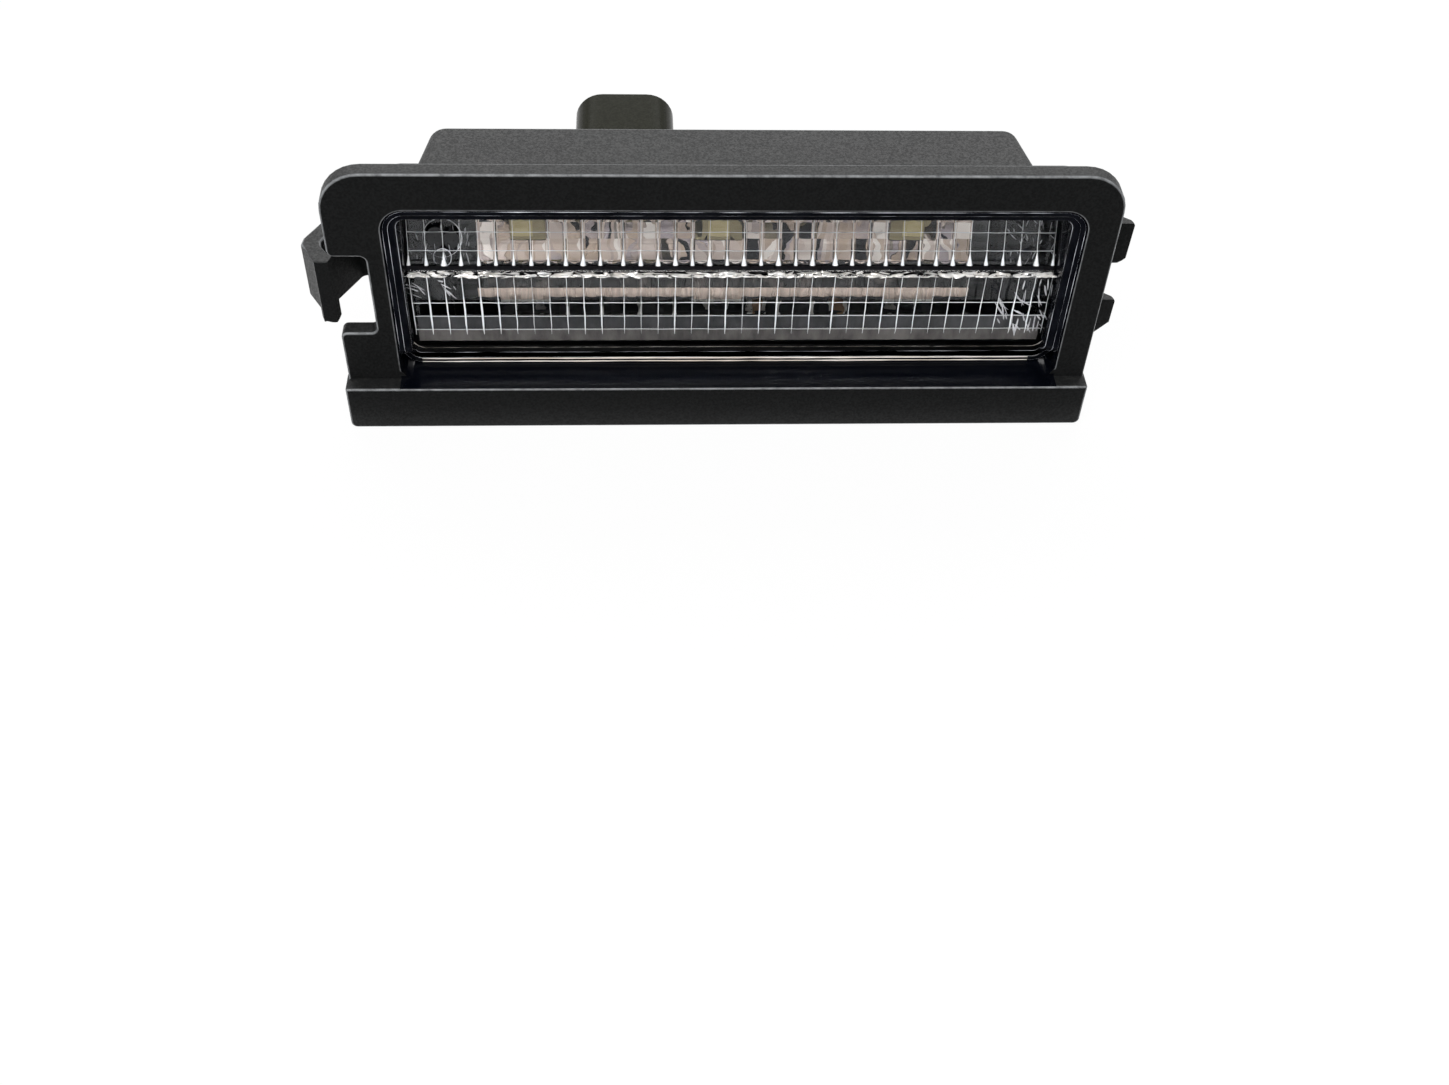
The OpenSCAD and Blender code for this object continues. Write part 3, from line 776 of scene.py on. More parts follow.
def run_tree(piece: Piece, tree: Tree, values: dict[str, object]) -> Piece:
    """Runs a geometry tree on a piece and keeps the result as plain mesh.

    Args:
        piece: the object that the tree works on.
        tree: the geometry tree.
        values: the tree's inputs by name.

    Returns:
        The piece, with the tree's result as its mesh.
    """
    worker = piece.modifiers.new(tree.name, "NODES")
    worker.node_group = tree
    for socket in tree.interface.items_tree:
        if socket.item_type == "SOCKET" and socket.in_out == "INPUT" and socket.name in values:
            worker[socket.identifier] = values[socket.name]
    return settle(piece)


def hand_over(piece: Piece, slot: Slot, material: Finish, *nodes: str) -> Piece:
    """Gives a piece its finish and its place in the part.

    Args:
        piece: the finished piece.
        slot: the record's slot; not used.
        material: its material.
        nodes: CAD nodes that it stands for.

    Returns:
        The piece.
    """
    piece.data.materials.clear()
    piece.data.materials.append(material)
    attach(piece, "root")
    if nodes:
        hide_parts(*nodes)
    LOG.info("%s: %d faces", piece.name, len(piece.data.polygons))
    return piece


def dress_node(node: str, material: Finish) -> None:
    """Gives a CAD node that stays its material.

    Args:
        node: the CAD node.
        material: its material.
    """
    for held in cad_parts[node].material_slots:
        held.material = material
    LOG.info("%s: dressed", node)


@dataclass(frozen=True)
class Rounding:
    """Rounds the edges of a copy of a CAD node, sparing the places where the copy would stray.

    The shares are parts of the rounding's width.
    """

    width: float
    merge: float = 0.002 * MM
    segments: int = 3
    passes: int = 5
    flat: float = math.radians(0.6)
    sharp: float = math.radians(32)
    crisp: float = math.radians(34)
    spare_share: float = 4.0
    stray_share: float = 0.45
    least_share: float = 0.35
    mark_shares: Span = (0.05, 0.16)
    room_share: float = 0.42
    least_turn: float = 0.2

    def room(self, edge: bmesh.types.BMEdge) -> float:
        """Finds how wide an edge may be rounded, from the length of its neighbours.

        Args:
            edge: the edge.

        Returns:
            The width that there is room for, at most the full one.
        """
        along = (edge.verts[1].co - edge.verts[0].co).normalized()
        room = self.width
        for point in edge.verts:
            for other in point.link_edges:
                if other is edge:
                    continue
                way = other.other_vert(point).co - point.co
                turn = math.sqrt(max(0.0, 1.0 - min(1.0, abs(way.normalized().dot(along))) ** 2))
                if turn > self.least_turn:
                    room = min(room, self.room_share * way.length * turn)
        return room

    def weigh(self, work: bmesh.types.BMesh, spared: Sequence[Vector]) -> None:
        """Gives each sharp outward edge the share of the rounding that there is room for.

        Args:
            work: the mesh whose edges are weighed.
            spared: places near which edges stay as they are.
        """
        weights = work.edges.layers.float.new("bevel_weight_edge")
        near = self.spare_share * self.width
        for edge in work.edges:
            if len(edge.link_faces) != 2 or edge.calc_face_angle(0.0) < self.sharp or not edge.is_convex:
                continue
            if any((point.co - place).length < near for point in edge.verts for place in spared):
                continue
            room = self.room(edge)
            edge[weights] = room / self.width if room > self.least_share * self.width else 0.0

    def bevel(self, source: bpy.types.Mesh, name: str, spared: Sequence[Vector]) -> Piece:
        """Rounds the edges of a copy of a mesh once.

        Args:
            source: the mesh to copy.
            name: the new piece's name.
            spared: places near which edges stay as they are.

        Returns:
            The new object, with its rounding as plain mesh.
        """
        mesh = source.copy()
        mesh.materials.clear()
        work = bmesh.new()
        work.from_mesh(mesh)
        bmesh.ops.remove_doubles(work, verts=work.verts, dist=self.merge)
        bmesh.ops.dissolve_limit(work, angle_limit=self.flat, verts=work.verts, edges=work.edges)
        self.weigh(work, spared)
        work.to_mesh(mesh)
        work.free()
        piece = link_piece(name, mesh)
        bevel = piece.modifiers.new("rounding", "BEVEL")
        bevel.width = self.width
        bevel.segments = self.segments
        bevel.limit_method = "WEIGHT"
        bevel.use_clamp_overlap = False
        return settle(piece)

    def copy(self, node: str, name: str) -> Piece:
        """Copies a CAD node's shape and rounds its edges.

        Args:
            node: the CAD node.
            name: the new piece's name.

        Returns:
            The new object, with its rounding as plain mesh and its rounded edges marked for rubbing and a
            painted edge highlight.
        """
        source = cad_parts[node].data
        surface = BVHTree.FromPolygons([v.co for v in source.vertices], [f.vertices for f in source.polygons])
        stray = self.stray_share * self.width
        spared: list[Vector] = []
        for _ in range(self.passes):
            piece = self.bevel(source, name, spared)
            strays = [p.co.copy() for p in piece.data.vertices if surface.find_nearest(p.co)[3] > stray]
            if not strays:
                break
            spared += strays
            bpy.data.objects.remove(piece)
        LOG.info("%s: %d places spared from rounding", name, len(spared))
        # Each point's edge mark, which places the rubbing and the painted edge highlight.
        marks = []
        for point in piece.data.vertices:
            nearest, normal, _, gap = surface.find_nearest(point.co)
            inside = (point.co - nearest).dot(normal) < 0
            marks.append(smooth(gap, *(share * self.width for share in self.mark_shares)) if inside else 0.0)
        piece.data.attributes.new(Attribute.WEAR.value, "FLOAT", "POINT").data.foreach_set("value", marks)
        piece.data.shade_smooth()
        piece.data.set_sharp_from_angle(angle=self.crisp)
        level = piece.modifiers.new("level_faces", "WEIGHTED_NORMAL")
        level.keep_sharp = True
        return settle(piece)


def rounded_distance(x: float, z: float, box: Sequence[float], low_r: float, high_r: float) -> float:
    """Signed distance from a rounded rectangle, negative inside.

    Args:
        x: place across.
        z: place up.
        box: left, foot, right and head of the rectangle.
        low_r: radius of its lower corners.
        high_r: radius of its upper corners.

    Returns:
        The distance.
    """
    left, foot, right, head = box
    mid_x, mid_z = (left + right) / 2, (foot + head) / 2
    radius = high_r if z > mid_z else low_r
    dx = abs(x - mid_x) - (right - left) / 2 + radius
    dz = abs(z - mid_z) - (head - foot) / 2 + radius
    return math.hypot(max(dx, 0.0), max(dz, 0.0)) + min(max(dx, dz), 0.0) - radius


class Trees:
    """Geometry trees that the lens and its surround use, each built once."""

    def __init__(self) -> None:
        """Builds the trees."""
        self.pillows = self.build_pillows()
        self.facets = self.build_facets()
        self.beads = self.build_beads()

    @staticmethod
    def build_pillows() -> Tree:
        """Builds the tree that swells each cell into a pillow with slightly uneven skin.

        Returns:
            The tree.
        """
        group = Group.shaper("optic_pillows", {"Bulge": 0.0001, "Wobble": 0.00002, "Wobble Scale": 420.0})
        given = group.given

        def arch(share: Socket, power: float) -> Socket:
            """Returns 4 u (1 - u) of a cell share u, flattened by a power."""
            hump = group.maths("MULTIPLY", share, group.maths("SUBTRACT", 1.0, share))
            return group.maths("POWER", group.maths("MULTIPLY", hump, 4.0), power)

        names = (Attribute.ACROSS, Attribute.UP, Attribute.OPTIC)
        across, up, optic = (group.attribute(name) for name in names)
        swell = group.maths("MULTIPLY", arch(across, 0.9), arch(up, 0.3))
        place = group.node("GeometryNodeInputPosition").outputs[0]
        uneven = group.maths("SUBTRACT", group.clouds(place, given["Wobble Scale"], 1.0), 0.5)
        lift = group.total((swell, given["Bulge"]), (uneven, given["Wobble"]))
        normal = group.node("GeometryNodeInputNormal").outputs[0]
        offset = group.scaled(normal, group.maths("MULTIPLY", lift, optic))
        moved = group.node("GeometryNodeSetPosition", {"Geometry": given["Geometry"], "Offset": offset})
        return group.finish(moved.outputs[0])

    @staticmethod
    def build_facets() -> Tree:
        """Builds the tree that strews small, turned facets through a box, which steps back above the crease.

        Returns:
            The tree.
        """
        corners = {f"{what}{end}": Vector() for what in ("", "Turn ", "Size ") for end in ("Low", "High")}
        numbers = {"Count": 100, "Crease": 0.018, "Step": 0.0008, "Lean": 0.4, "Seed": 3}
        group = Group.shaper("strewn_facets", {**numbers, **corners})
        given = group.given

        def chance(what: str, shift: float) -> Socket:
            """Draws a random vector between a named pair of inputs.

            Args:
                what: the pair's name.
                shift: what is added to the seed, so that the draws differ.

            Returns:
                The vector.
            """
            seed = group.maths("ADD", given["Seed"], shift)
            limits = {"Min": given[f"{what}Low"], "Max": given[f"{what}High"], "Seed": seed}
            return group.node("FunctionNodeRandomValue", limits, data_type="FLOAT_VECTOR").outputs[0]

        row = group.node("GeometryNodeMeshLine", {"Count": given["Count"]})
        points = group.node("GeometryNodeMeshToPoints", {"Mesh": row.outputs[0]})
        place = chance("", 1.0)
        rise = group.maths("SUBTRACT", group.split(place)["Z"], given["Crease"])
        back = group.total((given["Step"], 1), (rise, given["Lean"]))
        above = group.maths("GREATER_THAN", rise, 0.0)
        shift = group.node("ShaderNodeCombineXYZ", {"Y": group.maths("MULTIPLY", above, back)}).outputs[0]
        spread = group.node("GeometryNodeSetPosition", {
            "Geometry": points.outputs[0], "Position": place, "Offset": shift,
        })
        facet = group.node("GeometryNodeMeshIcoSphere", {"Radius": 1.0, "Subdivisions": 1})
        strewn = group.node("GeometryNodeInstanceOnPoints", {
            "Points": spread.outputs[0], "Instance": facet.outputs[0],
            "Rotation": chance("Turn ", 2.0), "Scale": chance("Size ", 3.0),
        })
        return group.finish(strewn.outputs[0], soft=False)

    @staticmethod
    def build_beads() -> Tree:
        """Builds the tree that lays a thin, slightly wandering bead along each line.

        Returns:
            The tree.
        """
        group = Group.shaper("groove_beads", {"Radius": 0.00008, "Wander": 0.00005, "Wander Scale": 500.0})
        given = group.given
        path = group.node("GeometryNodeMeshToCurve", {"Mesh": given["Geometry"]})
        clouds = group.node("ShaderNodeTexNoise", {
            "Vector": group.node("GeometryNodeInputPosition").outputs[0], "Scale": given["Wander Scale"],
            "Detail": 2.0,
        })
        centred = group.vector("SUBTRACT", clouds.outputs["Color"], (0.5, 0.5, 0.5))
        offset = group.scaled(group.vector("MULTIPLY", centred, (1.0, 0.0, 1.0)), given["Wander"])
        moved = group.node("GeometryNodeSetPosition", {"Geometry": path.outputs[0], "Offset": offset})
        section = group.node("GeometryNodeCurvePrimitiveCircle", {
            "Resolution": 6, "Radius": given["Radius"],
        }, mode="RADIUS")
        bead = group.node("GeometryNodeCurveToMesh", {
            "Curve": moved.outputs[0], "Profile Curve": section.outputs[0],
            "Scale": group.attribute(Attribute.GIRTH), "Fill Caps": True,
        })
        return group.finish(bead.outputs[0])


TREES = Trees()


class Lines:
    """Centre lines, each point with the girth of the bead that is laid along them."""

    def __init__(self) -> None:
        """Starts without a line."""
        self.points: list[Place] = []
        self.edges: list[tuple[int, int]] = []
        self.girths: list[float] = []

    def trace(self, path: Iterable[Place], girths: Iterable[float], closed: bool = False) -> None:
        """Adds one line.

        Args:
            path: its points.
            girths: the girth at each point.
            closed: whether its end meets its start.
        """
        first = len(self.points)
        self.points += path
        self.girths += girths
        self.edges += [(number - 1, number) for number in range(first + 1, len(self.points))]
        if closed:
            self.edges.append((len(self.points) - 1, first))

    def bead(
        self, name: str, slot: Slot, finish: Finish, radius: float, wander: float, scale: float = 500.0,
    ) -> None:
        """Lays a bead along each line and hands it over as one piece.

        Args:
            name: the piece's name.
            slot: the record's slot.
            finish: its material.
            radius: radius of the bead where the girth is 1.
            wander: how far it strays from its line.
            scale: how quickly it strays.
        """
        mesh = bpy.data.meshes.new(name)
        mesh.from_pydata(self.points, self.edges, [])
        mesh.attributes.new(Attribute.GIRTH.value, "FLOAT", "POINT").data.foreach_set("value", self.girths)
        piece = run_tree(link_piece(name, mesh), TREES.beads, {
            "Radius": radius, "Wander": wander, "Wander Scale": scale, "Material": finish,
        })
        hand_over(piece, slot, finish)


def shares(path: Sequence[object]) -> list[float]:
    """Returns the share of the way along at each point of a path."""
    return [number / (len(path) - 1) for number in range(len(path))]


@dataclass(frozen=True)
class Facets:
    """Small facets strewn through a box on the lens, whose finish paints sparkles and streaks of light; each
    span runs from lowest to highest.
    """

    name: str
    count: int
    box: tuple[Span, Span, Span]
    turn: tuple[Span, Span, Span]
    size: tuple[Span, Span, Span]
    seed: int

    def build(self, lens: "Lens", finish: Finish) -> None:
        """Strews the facets.

        Args:
            lens: the lens that they lie on.
            finish: their material.
        """
        values = {
            "Count": self.count, "Seed": self.seed, "Material": finish,
            "Crease": lens.crease, "Step": lens.crease_depth, "Lean": math.tan(lens.lean),
        }
        for what, spans, unit in (("", self.box, 1.0), ("Turn ", self.turn, 1.0), ("Size ", self.size, MM)):
            for end, corner in zip(("Low", "High"), zip(*spans)):
                values[f"{what}{end}"] = Vector(corner) * unit
        strewn = run_tree(link_piece(self.name, bpy.data.meshes.new(self.name)), TREES.facets, values)
        strewn.data.shade_flat()
        hand_over(strewn, Slot.LENS, finish)


@dataclass
class Lens:
    """The clear optic: a rim, and a raised field of cells that leans back above a crease.

    A glint line's weight and the painted tooth of light above the crease are each a least value and
    the reach of chance over it. The eyes, with painted shade in their middles and painted highlights
    on their rims, are round bosses, each given by its place across from the third line, its place up
    the slope and its radius.
    """

    rim_width: float = 0.75 * MM
    rim_foot: float = 2.2 * MM
    field_past: float = 5 * MM
    border: float = 0.95 * MM
    crease: float = 18.0 * MM
    crease_depth: float = 0.8 * MM
    crease_steps: int = 4
    crease_rise: float = 0.02 * MM
    proud: float = 0.7 * MM
    lean: float = math.radians(22)
    slope: float = 6.0 * MM
    dark_line: Span = (0.2 * MM, 0.62 * MM)
    pitch: float = 1.84 * MM
    strip: float = 2.45 * MM
    thickness: float = 2.2 * MM
    back_bevel: float = 0.9 * MM
    low_radius: float = 1.9 * MM
    high_radius: float = 2.4 * MM
    field_radius: float = 1.5 * MM
    field_head_radius: float = 0.1 * MM
    edge_round: float = 0.28 * MM
    groove: float = 0.2 * MM
    low_swell: float = 0.45
    high_swell: float = 1.3
    wobble: float = 0.04 * MM
    cell_steps: int = 6
    fine_step: float = 0.16 * MM
    high_shares: tuple[float, ...] = (0.142, 0.367, 0.7, 0.985)
    line_foot: float = 1.15 * MM
    line_steps: tuple[float, float, float] = (0.35 * MM, 0.2 * MM, 0.4 * MM)
    line_sunk: float = 0.12 * MM
    line_bead: Span = (0.064 * MM, 0.16 * MM)
    line_weight: Span = (0.4, 1.1)
    left_lines: int = 6
    left_weight: float = 0.4
    line_tooth: Span = (2.6, 2.6)
    tooth_fall: float = 3.7
    low_girth: Span = (0.3, 0.09)
    high_girth: float = 0.6
    rim_lines: tuple[Span, ...] = ((0.04 * MM, 0.95), (0.46 * MM, 1.15))
    rim_proud: float = 0.14 * MM
    rim_bead: tuple[float, float, float] = (0.12 * MM, 0.1 * MM, 200.0)
    round_inset: Span = (0.35 * MM, 0.3 * MM)
    round_proud: float = 0.62 * MM
    round_girths: Span = (0.3, 0.25)
    eyes: tuple[Place, ...] = (
        (-0.75 * MM, 3.55 * MM, 0.95 * MM), (0.9 * MM, 3.3 * MM, 0.8 * MM), (-0.1 * MM, 1.5 * MM, 0.78 * MM),
    )
    eye_rims: tuple[Place, ...] = ((0.0, 3.6 * MM, 2.05 * MM), (-0.1 * MM, 1.5 * MM, 0.95 * MM))
    eye_stretch: float = 1.15
    eye_depths: Span = (0.25 * MM, 0.4 * MM)
    eye_bead: Span = (0.06 * MM, 0.25 * MM)

    def __post_init__(self) -> None:
        """Reads the lens and its light sources from the frame and lays out the cells."""
        self.low, self.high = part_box("lens")
        self.field_y = self.low.y
        self.rim_y = self.field_y + self.proud
        self.upper_y, self.upper_z = self.on_slope(self.slope)
        self.field_box = (
            self.low.x + self.rim_width, self.low.z + self.rim_foot,
            self.high.x - self.rim_width, self.high.z + self.field_past,
        )
        left, right = self.field_box[0] + self.border, self.field_box[2] - self.border
        lights = [sum(corner.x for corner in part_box(f"led_body_{n}")) / 2 for n in (1, 2, 3)]
        first = math.floor(((lights[0] + lights[1] - self.strip) / 2 - left) / self.pitch)
        middle = math.floor((lights[1] - lights[0] - self.strip) / self.pitch) + 1
        split = left + first * self.pitch + self.strip
        second = split + middle * self.pitch + self.strip
        last = math.ceil((right - second) / self.pitch)
        self.columns = [left + n * self.pitch for n in range(first + 1)]
        self.columns += [split + n * self.pitch for n in range(middle + 1)]
        self.columns += [second + n * (right - second) / last for n in range(last + 1)]
        foot = self.field_box[1] + self.border
        rows = round((self.crease - foot) / self.pitch)
        self.low_rows = [foot + n * (self.crease - foot) / rows for n in range(rows + 1) if n != rows - 1]
        self.high_rows = [self.slope * share for share in self.high_shares]

    def cells(self, lines: Sequence[float]) -> list[Span]:
        """Lays out the mesh over a row of cells.

        Args:
            lines: the lines between the cells.

        Returns:
            Each place with its share of the way over its cell.
        """
        steps = [number / self.cell_steps for number in range(self.cell_steps)]
        sides = zip(lines, lines[1:])
        return [(start + (end - start) * share, share) for start, end in sides for share in steps]

    def across(self) -> list[Span]:
        """Lays out the mesh across the lens.

        Returns:
            Each place with its share of the way over its cell.
        """
        places = [(x, 0.0) for x in steps_between(self.low.x, self.columns[0], self.fine_step)]
        places += self.cells(self.columns)
        places += [(x, 0.0) for x in steps_between(self.columns[-1], self.high.x, self.fine_step)]
        return [*places, (self.high.x, 0.0)]

    def on_slope(self, along: float) -> Span:
        """Returns the depth and height of a place on the leaning field."""
        step = self.low.y + self.crease_depth
        return step + along * math.sin(self.lean), self.crease + along * math.cos(self.lean)

    def upward(self) -> list[tuple[float, float, float, float]]:
        """Lays out the field's front from the foot up.

        Returns:
            The depth, height, place in its cell and optic weight of each row of points.
        """
        y, head = self.field_y, self.high.z
        rows = [(y, z, 0.0, 0.0) for z in steps_between(self.low.z, self.low_rows[0], self.fine_step)]
        rows += [(y, z, share, self.low_swell) for z, share in self.cells(self.low_rows)]
        for number in range(self.crease_steps):
            depth = y + self.crease_depth * number / self.crease_steps
            rows.append((depth, self.crease + self.crease_rise * number, 0.0, 0.0))
        plain = (steps_between(0.0, self.high_rows[0], self.fine_step),
                 steps_between(self.high_rows[-1], self.slope, self.fine_step))
        rows += [(*self.on_slope(along), 0.0, 0.0) for along in plain[0]]
        rows += [(*self.on_slope(along), 0.5, self.high_swell) for along, _ in self.cells(self.high_rows)]
        rows += [(*self.on_slope(along), 0.0, 0.0) for along in plain[1]]
        rows += [(self.upper_y, z, 0.0, 0.0) for z in steps_between(self.upper_z, head, self.fine_step)]
        return [*rows, (self.upper_y, head, 0.0, 0.0)]

    def above_crease(self, z: float) -> float:
        """Returns the share of the leaning part's height that lies below a place."""
        return min(1.0, max(0.0, (z - self.crease) / (self.upper_z - self.crease)))

    def rim_depth(self, z: float) -> float:
        """Returns the depth of the plain rim at a height."""
        return self.rim_y + self.above_crease(z) * (self.upper_y - self.rim_y)

    def back_depth(self, z: float) -> float:
        """Finds the depth of the lens's back, which is bevelled at its head.

        Args:
            z: the height.

        Returns:
            The depth.
        """
        flat = self.rim_y + self.thickness
        depth = flat + self.above_crease(z) * (self.upper_y + self.thickness - flat)
        return depth - max(0.0, z - (self.high.z - self.back_bevel))

    def to_outline(self, x: float, z: float) -> tuple[float, float, float]:
        """Draws a place outside the rounded outline back onto it.

        Args:
            x: place across.
            z: place up.

        Returns:
            The place, and how far inside the outline it lies.
        """
        box = (self.low.x, self.low.z, self.high.x, self.high.z)
        off = rounded_distance(x, z, box, self.low_radius, self.high_radius)
        if off > 0:
            radius = self.high_radius if z > (box[1] + box[3]) / 2 else self.low_radius
            cx = min(max(x, box[0] + radius), box[2] - radius)
            cz = min(max(z, box[1] + radius), box[3] - radius)
            spoke = Vector((x - cx, z - cz)).normalized() * radius
            return cx + spoke.x, cz + spoke.y, 0.0
        return x, z, -off

    def front_depth(self, x: float, z: float, depth: float, inside: float) -> float:
        """Finds the depth of the lens's front before its grooves.

        Args:
            x: place across.
            z: place up.
            depth: the raised field's depth there.
            inside: how far inside the outline the place lies.

        Returns:
            The depth, on the rim, on the field or on the step between them.
        """
        off = rounded_distance(x, z, self.field_box, self.field_radius, self.field_head_radius)
        raised = 1 - smooth(off, -self.edge_round, 0.0)
        y = self.rim_depth(z) + raised * (depth - self.rim_depth(z))
        fall = max(0.0, self.edge_round - inside)
        return y + (self.edge_round - math.sqrt(max(0.0, self.edge_round ** 2 - fall ** 2)))

    def shell(self) -> bpy.types.Mesh:
        """Builds the closed lens with flat cells, and stores each point's place in its cell.

        Returns:
            The mesh.
        """
        work = bmesh.new()
        names = (Attribute.ACROSS, Attribute.UP, Attribute.OPTIC)
        tags = [work.verts.layers.float.new(name.value) for name in names]
        across = self.across()
        fronts, backs = [], []
        for depth, height, share_up, optic_up in self.upward():
            front_row, back_row = [], []
            for place, share_across in across:
                x, z, inside = self.to_outline(place, height)
                in_grid = self.columns[0] <= place < self.columns[-1]
                optic = optic_up if in_grid else 0.0
                y = self.front_depth(x, z, depth, inside) + (self.groove if optic else 0.0)
                front = work.verts.new((x, y, z))
                for tag, value in zip(tags, (share_across, share_up, optic)):
                    front[tag] = value
                front_row.append(front)
                back_row.append(work.verts.new((x, self.back_depth(z), z)))
            fronts.append(front_row)
            backs.append(back_row)
        self.close(work, fronts, backs)
        return cast("lens_optic", work)

    @staticmethod
    def close(work: bmesh.types.BMesh, fronts: list[list], backs: list[list]) -> None:
        """Faces the front and the back and joins them round the outline.

        Args:
            work: the mesh.
            fronts: the rows of points of the front.
            backs: the rows of points of the back.
        """
        rows, places = len(fronts), len(fronts[0])
        for r in range(rows - 1):
            for p in range(places - 1):
                work.faces.new((fronts[r][p], fronts[r][p + 1], fronts[r + 1][p + 1], fronts[r + 1][p]))
                work.faces.new((backs[r][p], backs[r + 1][p], backs[r + 1][p + 1], backs[r][p + 1]))
            work.faces.new((backs[r][0], fronts[r][0], fronts[r + 1][0], backs[r + 1][0]))
            work.faces.new((fronts[r][-1], backs[r][-1], backs[r + 1][-1], fronts[r + 1][-1]))
        for p in range(places - 1):
            work.faces.new((backs[0][p], backs[0][p + 1], fronts[0][p + 1], fronts[0][p]))
            work.faces.new((fronts[-1][p], fronts[-1][p + 1], backs[-1][p + 1], backs[-1][p]))
        bmesh.ops.remove_doubles(work, verts=work.verts, dist=0.0005 * MM)

    def groove_lines(self) -> Lines:
        """Traces the painted glints along the grooves: thicker on the left, tapering to the foot, toothed
        above the crease.

        Returns:
            The lines.
        """
        lines = Lines()
        front = self.field_y + self.line_sunk
        up_step, slope_step, across_step = self.line_steps
        upright = [*steps_between(self.low_rows[0] + self.line_foot, self.crease, up_step), self.crease]
        slope = [*steps_between(self.dark_line[1], self.high_rows[-1], slope_step), self.high_rows[-1]]
        for number, x in enumerate(self.columns):
            weight = self.line_weight[0] + self.line_weight[1] * noise.random()
            weight += self.left_weight * (number < self.left_lines)
            tooth = self.line_tooth[0] + self.line_tooth[1] * noise.random()
            tapers = [
                min(1.0, 0.25 + 4 * share) * (1.0 - 0.55 * smooth(share, 0.45, 0.75))
                for share in shares(upright)
            ]
            teeth = [max(0.0, 1 - share * self.tooth_fall) ** 1.3 for share in shares(slope)]
            lines.trace([(x, front, z) for z in upright], [weight * taper for taper in tapers])
            leaning = [(x, y + self.line_sunk, z) for y, z in map(self.on_slope, slope)]
            lines.trace(leaning, [0.5 + tooth * share for share in teeth])
        spread = [*steps_between(self.columns[0], self.columns[-1], across_step), self.columns[-1]]
        for number, z in enumerate(self.low_rows[1:-1]):
            girth = self.low_girth[0] + self.low_girth[1] * number
            lines.trace([(x, front, z) for x in spread], [girth] * len(spread))
        for y, z in map(self.on_slope, self.high_rows[1:-1]):
            lines.trace([(x, y + self.line_sunk, z) for x in spread], [self.high_girth] * len(spread))
        return lines

    def rim_edges(self) -> Lines:
        """Traces the painted highlights that run along the rim's foot and round the raised field.

        Returns:
            The lines.
        """
        lines = Lines()
        path = steps_between(self.low.x + self.low_radius, self.high.x - self.low_radius, 0.5 * MM)
        for rise, weight in self.rim_lines:
            girths = []
            for x, share in zip(path, shares(path)):
                fade = math.sin(math.pi * (0.04 + 0.92 * share)) ** 0.35
                girths.append(weight * fade * (0.75 + 0.4 * noise.noise(Vector((x * 400, rise * 9000, 0.0)))))
            lines.trace([(x, self.rim_y - self.rim_proud, self.low.z + rise) for x in path], girths)
        left, foot, right, _ = self.field_box
        aside, up = self.round_inset
        foot += up
        path = self.u_path(left + aside, foot, right - aside, self.crease - 0.3 * MM, self.field_radius)
        foot_girth, side_girth = self.round_girths
        girths = []
        for _, z in path:
            low = smooth(z, foot + self.field_radius * 1.5, foot)
            girths.append((side_girth + (foot_girth - side_girth) * low) * (0.6 + 0.8 * noise.random()))
        lines.trace([(x, self.rim_y - self.round_proud, z) for x, z in path], girths)
        return lines

    @staticmethod
    def u_path(x0: float, z0: float, x1: float, head: float, radius: float) -> list[Span]:
        """Draws a path down the left side, round the foot and up the right side.

        Args:
            x0: place of its left side.
            z0: height of its foot.
            x1: place of its right side.
            head: height of its two ends.
            radius: radius of its corners.

        Returns:
            The path's points.
        """
        step = 0.5 * MM
        bend = [math.pi / 2 * number / 8 for number in range(1, 9)]
        path = [(x0, z) for z in steps_between(head, z0 + radius, step)]
        path += [(x0 + radius - radius * math.cos(a), z0 + radius - radius * math.sin(a)) for a in bend]
        path += [(x, z0) for x in steps_between(x0 + radius, x1 - radius, step)][1:]
        bend.insert(0, 0.0)
        path += [(x1 - radius + radius * math.sin(a), z0 + radius - radius * math.cos(a)) for a in bend]
        return path + [(x1, z) for z in steps_between(z0 + radius, head, step)][1:]

    def build_crease(self) -> None:
        """Makes the broken ledge of painted sparkles at the crease and the painted reflection swirls at both
        ends.
        """
        first, last = self.columns[0], self.columns[-1]
        y, z = self.field_y, self.crease
        skin = (y + 0.08 * MM, y + 0.08 * MM + 0.03 * MM)
        right = (last - 5.2 * MM, last + 0.2 * MM)
        below, above = (10.5 * MM, 17.4 * MM), (18.9 * MM, 23.0 * MM)
        # Near-white facets paint the sparkle of light along the crease's ledge.
        bright = Fine(
            "crease_painted_sparkle", (0.8, 0.76, 0.7), (1.0, 1.0, 1.0), (0.04, 0.16),
            metal=0.35, scale=1500.0, bump=0.4,
        ).make()
        for ledge in (
            Facets("crease_edge", 250, ((first, last), (y + 0.05 * MM, y + 0.62 * MM), (z - 0.1 * MM, z)),
                   ((-0.9, 0.9), (-0.3, 0.3), (-0.4, 0.4)), ((0.25, 0.95), (0.06, 0.26), (0.05, 0.14)), 11),
            Facets("crease_step", 110,
                   ((first, last), (y - 0.02 * MM, y + 0.02 * MM), (z - 0.14 * MM, z - 0.04 * MM)),
                   ((-0.9, 0.9), (-0.15, 0.15), (-0.2, 0.2)), ((0.3, 1.0), (0.04, 0.08), (0.03, 0.07)), 23),
        ):
            ledge.build(self, bright)
